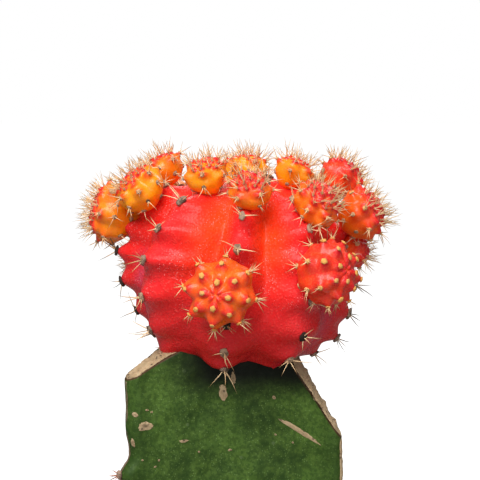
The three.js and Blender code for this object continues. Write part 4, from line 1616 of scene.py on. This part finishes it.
# One scar's skin, its poles and its darkness: an ellipse with a ragged, tapering outline is laid
# on the face by the height of the skin there. It rises by one less the distance from its middle
# to the fourth power, and closes underneath. The raggedness is a sum of sine waves round it.
def scarSkin(skin, draw, scar):
    face, side, height, halfLong, halfWide, tilt, taper, dark = scar
    form = scarForm
    normal, tangent = heading(270 + 120 * face), heading(360 + 120 * face)
    rings = np.linspace(*form["rings"], form["rows"])
    turn = circleAngles(form["columns"])
    wobble = sum(draw.normal() * np.sin(k * turn + draw.uniform(0, phaseRange)) / k for k in form["waves"])
    reach = rings[:, None] * (1 + form["ragged"] * wobble)
    a = halfLong * reach * np.cos(turn)
    b = halfWide * reach * np.sin(turn) * (1 - taper * (np.cos(turn) + 1) / 2)
    angle = math.radians(tilt)
    across = side + a * math.cos(angle) - b * math.sin(angle)
    up = height + a * math.sin(angle) + b * math.cos(angle)
    dip = form["dip"] * dark * bell(rings, form["dipWidth"])
    rise = form["raised"] * (1 - rings ** 4) - form["foot"] - dip
    rise = rise[:, None] + form["grain"] * draw.normal(size=reach.shape)
    level = skinLevel(skin, normal, tangent, across, up)
    points = np.dstack([(level + rise)[..., None] * normal + across[..., None] * tangent, up])
    middle = level[-1].mean()
    outs = (middle - form["sunk"], middle + rise[-1].mean())
    poles = np.array([[*(out * normal + side * tangent), height] for out in outs])
    shade = form["dark"] + form["middleDark"] * dark * bell(rings, form["middleWidth"])
    return points, poles, shade + form["rimDark"] * (rings > form["rimFrom"])


# All scars as one piece, dark where each one says and along its rim.
def makeScars():
    skin = stemSkin()[0]
    draw = np.random.default_rng(scarForm["seed"])
    skins, darks = [], []
    for scar in scars:
        points, poles, shade = scarSkin(skin, draw, scar)
        skins.append((points, poles))
        darks += [np.repeat(shade, scarForm["columns"]), [scarForm["dark"] + scarForm["rimDark"], shade[-1]]]
    makePiece("stemScars", *joinedSkins(skins), {"dark": np.concatenate(darks)}, stemCork, "cork")


stemSpineStyle = {
    "each": 5, "sides": 4, "lean": (12, 62), "radius": 0.17, "length": (2.6, 3.4), "bend": 0.09,
    "scatter": 0.03, "shade": (0.1, 0.8), "seed": 9,
}
stemWoolStyle = {
    "size": 0.8, "long": 1.3, "tall": 0.7, "raised": 0.14, "rows": 6, "columns": 14, "shade": (0.15, 0.35),
    "seed": 3,
}


# The wool and spines of the wings' margins, which face along each wing's direction.
def makeMarginAreoles():
    up = np.array([0.0, 0.0, 1.0])
    found = []
    for wing in wings:
        heights = graftHeight - np.array(wing["areoles"], float)
        direction = np.array([*heading(wing["direction"]), 0])
        reach = wing["reach"] * stemShare(heights) + marginSwell(wing, heights)
        found.append({
            "points": reach[:, None] * direction + heights[:, None] * up,
            "normals": np.repeat(direction[None], len(heights), 0),
            "tangents": np.repeat(up[None], len(heights), 0),
        })
    areoles = joined(found)
    count = len(areoles["points"])
    draw = np.random.default_rng(rootstock["seed"])
    shades = draw.uniform(*stemWoolStyle["shade"], count)
    tufts = woolAt(areoles, stemWoolStyle, stemWoolStyle["seed"], shades)
    makePiece("stemWool", *woolMesh(tufts, stemWoolStyle), areoleWool, "wool")
    lengths = draw.uniform(*stemSpineStyle["length"], count)
    spines = spinesAt(areoles, lengths, stemSpineStyle["seed"], stemSpineStyle)
    makePiece("stemSpines", *spineMesh(spines, stemSpineStyle), brownHorn, "spine")


# The painted shadow is the shade under the globe painted into the skin, between two heights and two places
# sideways in metres. The fleck, bloom and stipple each have their specks: spacing in metres, size in
# spacings and share of the cells.
stemLook = {
    "shader": {"Specular IOR Level": 0.14},
    "dark": tone(34, 56, 18),
    "middle": tone(76, 105, 42),
    "light": tone(92, 120, 50),
    "lightStrength": 0.42,
    "broadSize": 0.011,
    "smallSize": 0.0016,
    "fineSize": 0.0007,
    "fineHeight": 0.00005,
    "poreFine": (0.3, 0.7),
    "poreStrength": 0.5,
    "stipple": tone(116, 146, 84),
    "stippleSpecks": (0.00042, 0.3, 0.7),
    "stippleSmall": (-0.4, 1.0),
    "stippleStrength": 0.62,
    "fleck": tone(140, 166, 96),
    "fleckSpecks": (0.0011, 0.13, 0.4),
    "fleckStrength": 0.3,
    "bloom": tone(150, 168, 130),
    "bloomSpecks": (0.0031, 0.14, 0.3),
    "bloomStrength": 0.12,
    # The painted shadow is near-black shade under the globe.
    "collar": tone(8, 12, 5),
    "collarUp": (0.1256, 0.1316),
    "collarSideways": (-0.016, -0.004),
    "collarStrength": 0.98,
    # The margins are painted darker as shade.
    "shadedMarginEdge": (0.0, 0.9),
    "shadedMarginStrength": 0.45,
    "border": tone(70, 50, 32),
    "borderCut": (0.1, 0.45),
    "roughness": (0.42, 0.62),
}


# The stem's skin: two greens in broad patches, with lighter ones, pores, stipple, flecks and
# bloom on them, a painted shadow under the globe, painted shade at the margins, and brown along the cuts.
def makeStemGreen():
    look = stemLook
    material, tree, sockets, place = newMaterial("stemGreen", look["shader"])
    cut, edge = (readValue(tree, name) for name in ("cut", "edge"))
    broad = mottleMask(tree, place, look["broadSize"])
    small = mottleMask(tree, place, look["smallSize"])
    fine = grainOutputs(tree, place, look["fineSize"], look["fineHeight"])
    colour = mixColours(tree, broad, look["dark"], look["middle"])
    colour = tint(tree, colour, small, look["lightStrength"], look["light"])
    pores = fade(tree, fine["Mask"], *look["poreFine"])
    colour = tint(tree, colour, pores, look["poreStrength"], look["dark"])
    stipple = specksMask(tree, place, *look["stippleSpecks"])
    stipple = product(tree, stipple, fade(tree, small, *look["stippleSmall"]))
    colour = tint(tree, colour, stipple, look["stippleStrength"], look["stipple"])
    flecks = specksMask(tree, place, *look["fleckSpecks"])
    colour = tint(tree, colour, flecks, look["fleckStrength"], look["fleck"])
    bloom = specksMask(tree, place, *look["bloomSpecks"])
    colour = tint(tree, colour, bloom, look["bloomStrength"], look["bloom"])
    axes = addNode(tree, "ShaderNodeSeparateXYZ", {"Vector": place}).outputs
    # Painted shadow under the globe, fading out towards the left.
    collar = fade(tree, axes["Z"], *look["collarUp"])
    collar = product(tree, collar, fade(tree, axes["X"], *look["collarSideways"]))
    colour = tint(tree, colour, collar, look["collarStrength"], look["collar"])
    # The margins are painted darker as shade.
    shadedMargin = fade(tree, edge, *look["shadedMarginEdge"])
    colour = tint(tree, colour, shadedMargin, look["shadedMarginStrength"], look["dark"])
    border = inverse(tree, fade(tree, cut, *look["borderCut"]))
    colour = mixColours(tree, border, colour, look["border"])
    roughness = between(tree, fine["Mask"], *look["roughness"])
    feed(tree, sockets, {"Base Color": colour, "Roughness": roughness, "Normal": fine["Normal"]})
    return material


corkLook = {
    "shader": {"Roughness": 0.88},
    "grainSize": 0.0008,
    "grainHeight": 0.00016,
    "pale": tone(196, 172, 136),
    "tan": tone(164, 138, 102),
    "broadSize": 0.003,
    "tanStrength": 0.35,
    "crack": tone(52, 36, 26),
    "pits": (0.0008, 0.4, 0.32),
    "pitStrength": 0.7,
}


# Cork: pale and tan by its grain, with dark pits, and as dark as each point's own value says.
def makeStemCork():
    look = corkLook
    material, tree, sockets, place = newMaterial("stemCork", look["shader"])
    coarse = grainOutputs(tree, place, look["grainSize"], look["grainHeight"])
    broad = mottleMask(tree, place, look["broadSize"])
    colour = mixColours(tree, coarse["Mask"], look["tan"], look["pale"])
    colour = tint(tree, colour, broad, look["tanStrength"], look["tan"])
    pits = specksMask(tree, place, *look["pits"])
    colour = tint(tree, colour, pits, look["pitStrength"], look["crack"])
    colour = mixColours(tree, readValue(tree, "dark"), colour, look["crack"])
    feed(tree, sockets, {"Base Color": colour, "Normal": coarse["Normal"]})
    return material


stemGreen = makeStemGreen()
stemCork = makeStemCork()
makeStem()
makeCork()
makeScars()
makeMarginAreoles()
print("rootstock made")


# Pot and soil

# The outside is its corners as radius and height. The wall's inside narrows by taper towards the foot and
# widens by it towards the rim. Settled are the two heights between which the slow waves set in.
clayPot = {
    "drainRadius": 5.5,
    "footRadius": 27.0,
    "outside": [(26, 0), (27, 1), (35.2, 52), (38.4, 53)],
    "rimFrom": 68.6,
    "rimRounding": 1.4,
    "innerRounding": 1.0,
    "wall": 4.6,
    "taper": 0.6,
    "floor": 6.0,
    "columns": 150,
    "spacing": 0.8,
    "rounding": 0.9,
    "cornerShare": 0.4,
    "cornerPoints": 7,
    "settled": (0.5, 4),
    "lumps": [(30.0, 0.1), (8.0, 0.04)],
    "seed": 51,
}

# The soil's top is a mound whose rim lies at top. Its rows: three on the underside, at shares of
# its radius, then up the wall to below the rim, over the top, closer together towards the stem,
# and down the socket.
soil = {
    "top": 61.0,
    "mound": 1.8,
    "gap": 0.3,
    "grain": 0.55,
    "smallGrain": 0.7,
    "lumps": [(2.4, 0.32), (0.9, 0.12)],
    "lumpWaves": 16,
    "footShares": (0.25, 0.6, 0.97),
    "wallRows": 14,
    "belowRim": 1.5,
    "topRows": 56,
    "closer": 0.9,
    "socketRows": 8,
    "socketFrom": 4.0,
    "socketMiddle": 0.5,
    "seed": 61,
}


# The pot's inner radius, which grows evenly with the height.
def innerRadius(height):
    low = clayPot["footRadius"] - clayPot["wall"] + clayPot["taper"]
    high = rimRadius - clayPot["wall"] - clayPot["taper"]
    return lerp(low, high, (height - clayPot["floor"]) / (potHeight - clayPot["floor"]))


# The pot's closed outline with rounded corners: each corner becomes a quadratic Bezier curve that starts
# rounding away from it, or cornerShare of a short side, and the whole is then sampled at an even spacing.
def roundedOutline(corners):
    corners = np.array(corners, float)
    before = np.roll(corners, 1, 0) - corners
    after = np.roll(corners, -1, 0) - corners
    shorter = np.minimum(np.linalg.norm(before, axis=1), np.linalg.norm(after, axis=1))
    reach = np.minimum(clayPot["rounding"], clayPot["cornerShare"] * shorter)[:, None]
    t = np.linspace(0, 1, clayPot["cornerPoints"])[None, :, None]
    starts = (corners + unit(before) * reach)[:, None]
    ends = (corners + unit(after) * reach)[:, None]
    curve = ((1 - t) ** 2 * starts + 2 * t * (1 - t) * corners[:, None] + t ** 2 * ends).reshape(-1, 2)
    curve = np.concatenate([curve, curve[:1]])
    lengths = pathLengths(curve)
    count = int(lengths[-1] / clayPot["spacing"])
    return alongPath(curve, lengths, np.arange(count) * lengths[-1] / count)


# The pot: its closed wall outline, from the outside's corners to the bore, turned round the axis,
# with slow waves from the making.
def makePot():
    top, floor, bore = potHeight, clayPot["floor"], clayPot["drainRadius"]
    corners = [
        (bore, 0),
        *clayPot["outside"],
        (rimRadius, clayPot["rimFrom"]),
        (rimRadius - clayPot["rimRounding"], top),
        (innerRadius(top) + clayPot["innerRounding"], top),
        (innerRadius(top), top - clayPot["innerRounding"]),
        (innerRadius(floor), floor),
        (bore, floor),
    ]
    profile = roundedOutline(corners)
    rows, columns = len(profile), clayPot["columns"]
    outward = heading(360 * np.arange(columns) / columns)
    flat = profile[:, 0, None, None] * outward
    points = np.dstack([flat, np.repeat(profile[:, 1, None], columns, 1)])
    lift = lumpHeight(points, clayPot["lumps"], clayPot["seed"])
    lift = lift * smooth(points[..., 2], *clayPot["settled"])
    points[..., :2] += lift[..., None] * outward
    here = np.arange(rows * columns).reshape(rows, columns)
    beside, above = np.roll(here, -1, 1), np.roll(here, -1, 0)
    quads = np.stack([here, beside, np.roll(beside, -1, 0), above], -1).reshape(-1, 4)
    piece = makePiece("potSkin", points, [quads], {}, potClay, "clay")
    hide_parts("pot")


# The height of the soil: a parabolic mound whose rim lies at top, with crossed sine waves of the
# angle and the distance from the axis, and finer lumps.
def soilHeight(flat):
    distance = np.linalg.norm(flat, axis=-1)
    angle = np.arctan2(flat[..., 1], flat[..., 0])
    rim = innerRadius(soil["top"]) - soil["gap"]
    waving = np.sin(5 * angle + 0.9 * distance) * np.cos(0.7 * distance - 3 * angle)
    waving = waving + soil["smallGrain"] * np.sin(11 * angle - 0.5 * distance)
    height = soil["top"] + soil["mound"] * (1 - (distance / rim) ** 2) + soil["grain"] * waving
    flatPoints = np.concatenate([flat, np.zeros((*flat.shape[:-1], 1))], -1)
    return height + lumpHeight(flatPoints, soil["lumps"], soil["seed"], soil["lumpWaves"])


# The soil: rows run from the middle of its foot up the pot's wall, over the top, and down into the socket
# that the stem stands in.
def makeSoil():
    gap, top = soil["gap"], soil["top"]
    outline = stemOutline()[0] * rootstock["buriedShare"]
    start = math.degrees(math.atan2(outline[0, 1], outline[0, 0]))
    circle = heading(start + 360 * np.arange(len(outline)) / len(outline))
    socket = outline + gap * unit(outline)
    foot = clayPot["floor"] + gap
    rings = [(share * (innerRadius(foot) - gap) * circle, foot) for share in soil["footShares"]]
    for level in np.linspace(foot, top - soil["belowRim"], soil["wallRows"]):
        rings.append(((innerRadius(level) - gap) * circle, level))
    rim = (innerRadius(top) - gap) * circle
    for share in np.linspace(0, 1, soil["topRows"]) ** soil["closer"]:
        flat = lerp(rim, socket, share)
        rings.append((flat, soilHeight(flat)))
    socketFoot = rootstock["bottom"] - gap
    for level in np.linspace(top - soil["socketFrom"], socketFoot, soil["socketRows"]):
        rings.append((socket, level))
    rings.append((soil["socketMiddle"] * socket, socketFoot))
    points = [np.column_stack([flat, np.broadcast_to(level, len(flat))]) for flat, level in rings]
    points.append(np.array([[0, 0, foot], [0, 0, socketFoot]]))
    faces = skinFaces(len(rings), len(outline))
    piece = makePiece("soilSkin", np.concatenate(points), faces, {}, pottingSoil, "soil")
    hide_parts("soil")


# Grit and bark: drawn is how many places are tried for each lump, inside is its least distance from
# the rim and clear that from the stem. Each lump is stretched by three numbers between least and most.
grit = {
    "count": 420,
    "drawn": 3,
    "inside": 2.0,
    "clear": 1.2,
    "size": (0.5, 1.7),
    "smaller": (0.6, 1),
    "least": (0.8, 0.5, 0.35),
    "most": (1.5, 1.0, 0.8),
    "raised": 0.15,
    "waves": (0.16, 0.12),
    "rows": 5,
    "columns": 8,
    "seed": 71,
}


# The stem outline's distance from the axis by angle, as two arrays in rising order of angle.
def stemReachByAngle(outline):
    angle = np.arctan2(outline[:, 1], outline[:, 0])
    order = np.argsort(angle)
    reach = np.linalg.norm(outline, axis=1)[order]
    angle = angle[order]
    return np.concatenate([angle - 2 * np.pi, angle, angle + 2 * np.pi]), np.tile(reach, 3)


# Places for grit at random on the soil, between the pot's wall and the stem, from whose outline
# every sixth point is taken.
def gritPlaces(draw):
    outer = innerRadius(soil["top"]) - grit["inside"]
    outline = stemOutline()[0] * rootstock["buriedShare"]
    flat = draw.uniform(-outer, outer, (grit["count"] * grit["drawn"], 2))
    distance = np.linalg.norm(flat, axis=1)
    gap = np.linalg.norm(flat[:, None] - outline[None, ::6], axis=-1).min(1)
    inStem = np.interp(np.arctan2(flat[:, 1], flat[:, 0]), *stemReachByAngle(outline)) > distance
    return flat[(distance < outer) & (gap > grit["clear"]) & ~inStem][:grit["count"]]


# Grit and bark on the soil: closed lumps, each an ellipsoid turned at random, whose radius varies
# with two sine waves of the angles on it.
def makeGrit():
    draw = np.random.default_rng(grit["seed"])
    flat = gritPlaces(draw)
    count = len(flat)
    size = draw.uniform(*grit["size"], count) * draw.uniform(*grit["smaller"], count)
    polar = polarRows(grit["rows"])[None, :, None]
    turn = circleAngles(grit["columns"])[None, None]
    phase = draw.uniform(0, phaseRange, (count, 1, 1))
    slow, fast = grit["waves"]
    radius = 1 + slow * np.sin(2 * turn + phase) + fast * np.sin(3 * turn + 2 * polar + 2 * phase)
    axes = (np.sin(polar) * np.cos(turn), np.sin(polar) * np.sin(turn), np.cos(polar))
    ball = np.stack([radius * axis for axis in axes], -1).reshape(count, -1, 3)
    poles = np.broadcast_to([[0, 0, -1.0], [0, 0, 1.0]], (count, 2, 3))
    ball = np.concatenate([ball, poles], 1)
    turned, _ = np.linalg.qr(draw.normal(size=(count, 3, 3)))
    turned = turned * np.sign(np.linalg.det(turned))[:, None, None]
    stretch = draw.uniform(grit["least"], grit["most"], (count, 3))
    centre = np.column_stack([flat, soilHeight(flat) + grit["raised"] * size])
    lumps = np.einsum("nij,nkj->nki", turned, ball * stretch[:, None])
    points = lumps * size[:, None, None] / 2 + centre[:, None]
    values = {"shade": np.repeat(draw.random(count), ball.shape[1])}
    faces = repeatedFaces(grit["rows"], grit["columns"], count)
    makePiece("soilGrit", points, faces, values, gritStone, "grit")


# Damp and lime have the two heights in metres between which they fade in, and are stronger in some patches.
clayLook = {
    "shader": {"Roughness": 0.85},
    "broadSize": 0.022,
    "smallSize": 0.004,
    "fineSize": 0.0009,
    "fineHeight": 0.00007,
    "clay": tone(176, 88, 56),
    "paleClay": tone(198, 110, 74),
    "burnt": tone(156, 74, 48),
    "burntStrength": 0.3,
    "grain": tone(120, 58, 40),
    "grainSpecks": (0.0022, 0.2, 0.25),
    "grainStrength": 0.45,
    "damp": tone(128, 62, 42),
    "dampHeights": (0.03, 0.004),
    "dampPatches": (0.3, 0.7),
    "lime": tone(222, 190, 166),
    "limeHeights": (0.05, 0.066),
    "limePatches": (0.35, 1.0),
    "limeStrength": 0.5,
    "dust": tone(222, 150, 116),
    "dustStrength": 0.18,
}


# Fired clay: patches of two tones, burnt spots and grains, a damp foot, lime below the rim, and dust.
def makePotClay():
    look = clayLook
    material, tree, sockets, place = newMaterial("potClay", look["shader"])
    broad = mottleMask(tree, place, look["broadSize"])
    small = mottleMask(tree, place, look["smallSize"])
    fine = grainOutputs(tree, place, look["fineSize"], look["fineHeight"])
    grains = specksMask(tree, place, *look["grainSpecks"])
    height = addNode(tree, "ShaderNodeSeparateXYZ", {"Vector": place}).outputs["Z"]
    colour = mixColours(tree, broad, look["clay"], look["paleClay"])
    colour = tint(tree, colour, small, look["burntStrength"], look["burnt"])
    colour = tint(tree, colour, grains, look["grainStrength"], look["grain"])
    dampPatches = between(tree, broad, *look["dampPatches"])
    colour = tint(tree, colour, fade(tree, height, *look["dampHeights"]), dampPatches, look["damp"])
    lime = product(tree, fade(tree, height, *look["limeHeights"]), fade(tree, broad, *look["limePatches"]))
    colour = tint(tree, colour, lime, look["limeStrength"], look["lime"])
    colour = tint(tree, colour, fine["Mask"], look["dustStrength"], look["dust"])
    feed(tree, sockets, {"Base Color": colour, "Normal": fine["Normal"]})
    return material


soilLook = {
    "shader": {"Roughness": 0.95},
    "crumbSize": 0.0012,
    "crumbHeight": 0.0006,
    "dark": tone(34, 24, 18),
    "light": tone(84, 62, 46),
    "bits": tone(150, 124, 96),
    "bitSpecks": (0.0016, 0.3, 0.16),
    "bitStrength": 0.6,
}


# Potting mix: dark and light crumbs with pale bits among them.
def makePottingSoil():
    look = soilLook
    material, tree, sockets, place = newMaterial("pottingSoil", look["shader"])
    crumb = grainOutputs(tree, place, look["crumbSize"], look["crumbHeight"])
    colour = mixColours(tree, crumb["Mask"], look["dark"], look["light"])
    bits = specksMask(tree, place, *look["bitSpecks"])
    colour = tint(tree, colour, bits, look["bitStrength"], look["bits"])
    feed(tree, sockets, {"Base Color": colour, "Normal": crumb["Normal"]})
    return material


gritLook = {
    "shader": {"Roughness": 0.9},
    "grainSize": 0.0005,
    "grainHeight": 0.00012,
    "shades": [
        (0.0, tone(60, 38, 26)),
        (0.4, tone(96, 66, 46)),
        (0.55, tone(150, 128, 104)),
        (0.8, tone(196, 186, 168)),
        (1.0, tone(120, 70, 52)),
    ],
    "dark": tone(48, 36, 28),
    "darkStrength": 0.4,
}


# Grit: bark and stone colours by each lump's own shade, darker in its grain.
def makeGritStone():
    look = gritLook
    material, tree, sockets, place = newMaterial("gritStone", look["shader"])
    fine = grainOutputs(tree, place, look["grainSize"], look["grainHeight"])
    colour = ramp(tree, readValue(tree, "shade"), look["shades"])
    colour = tint(tree, colour, fine["Mask"], look["darkStrength"], look["dark"])
    feed(tree, sockets, {"Base Color": colour, "Normal": fine["Normal"]})
    return material


potClay = makePotClay()
pottingSoil = makePottingSoil()
gritStone = makeGritStone()
makePot()
makeSoil()
makeGrit()
print("pot and soil made")
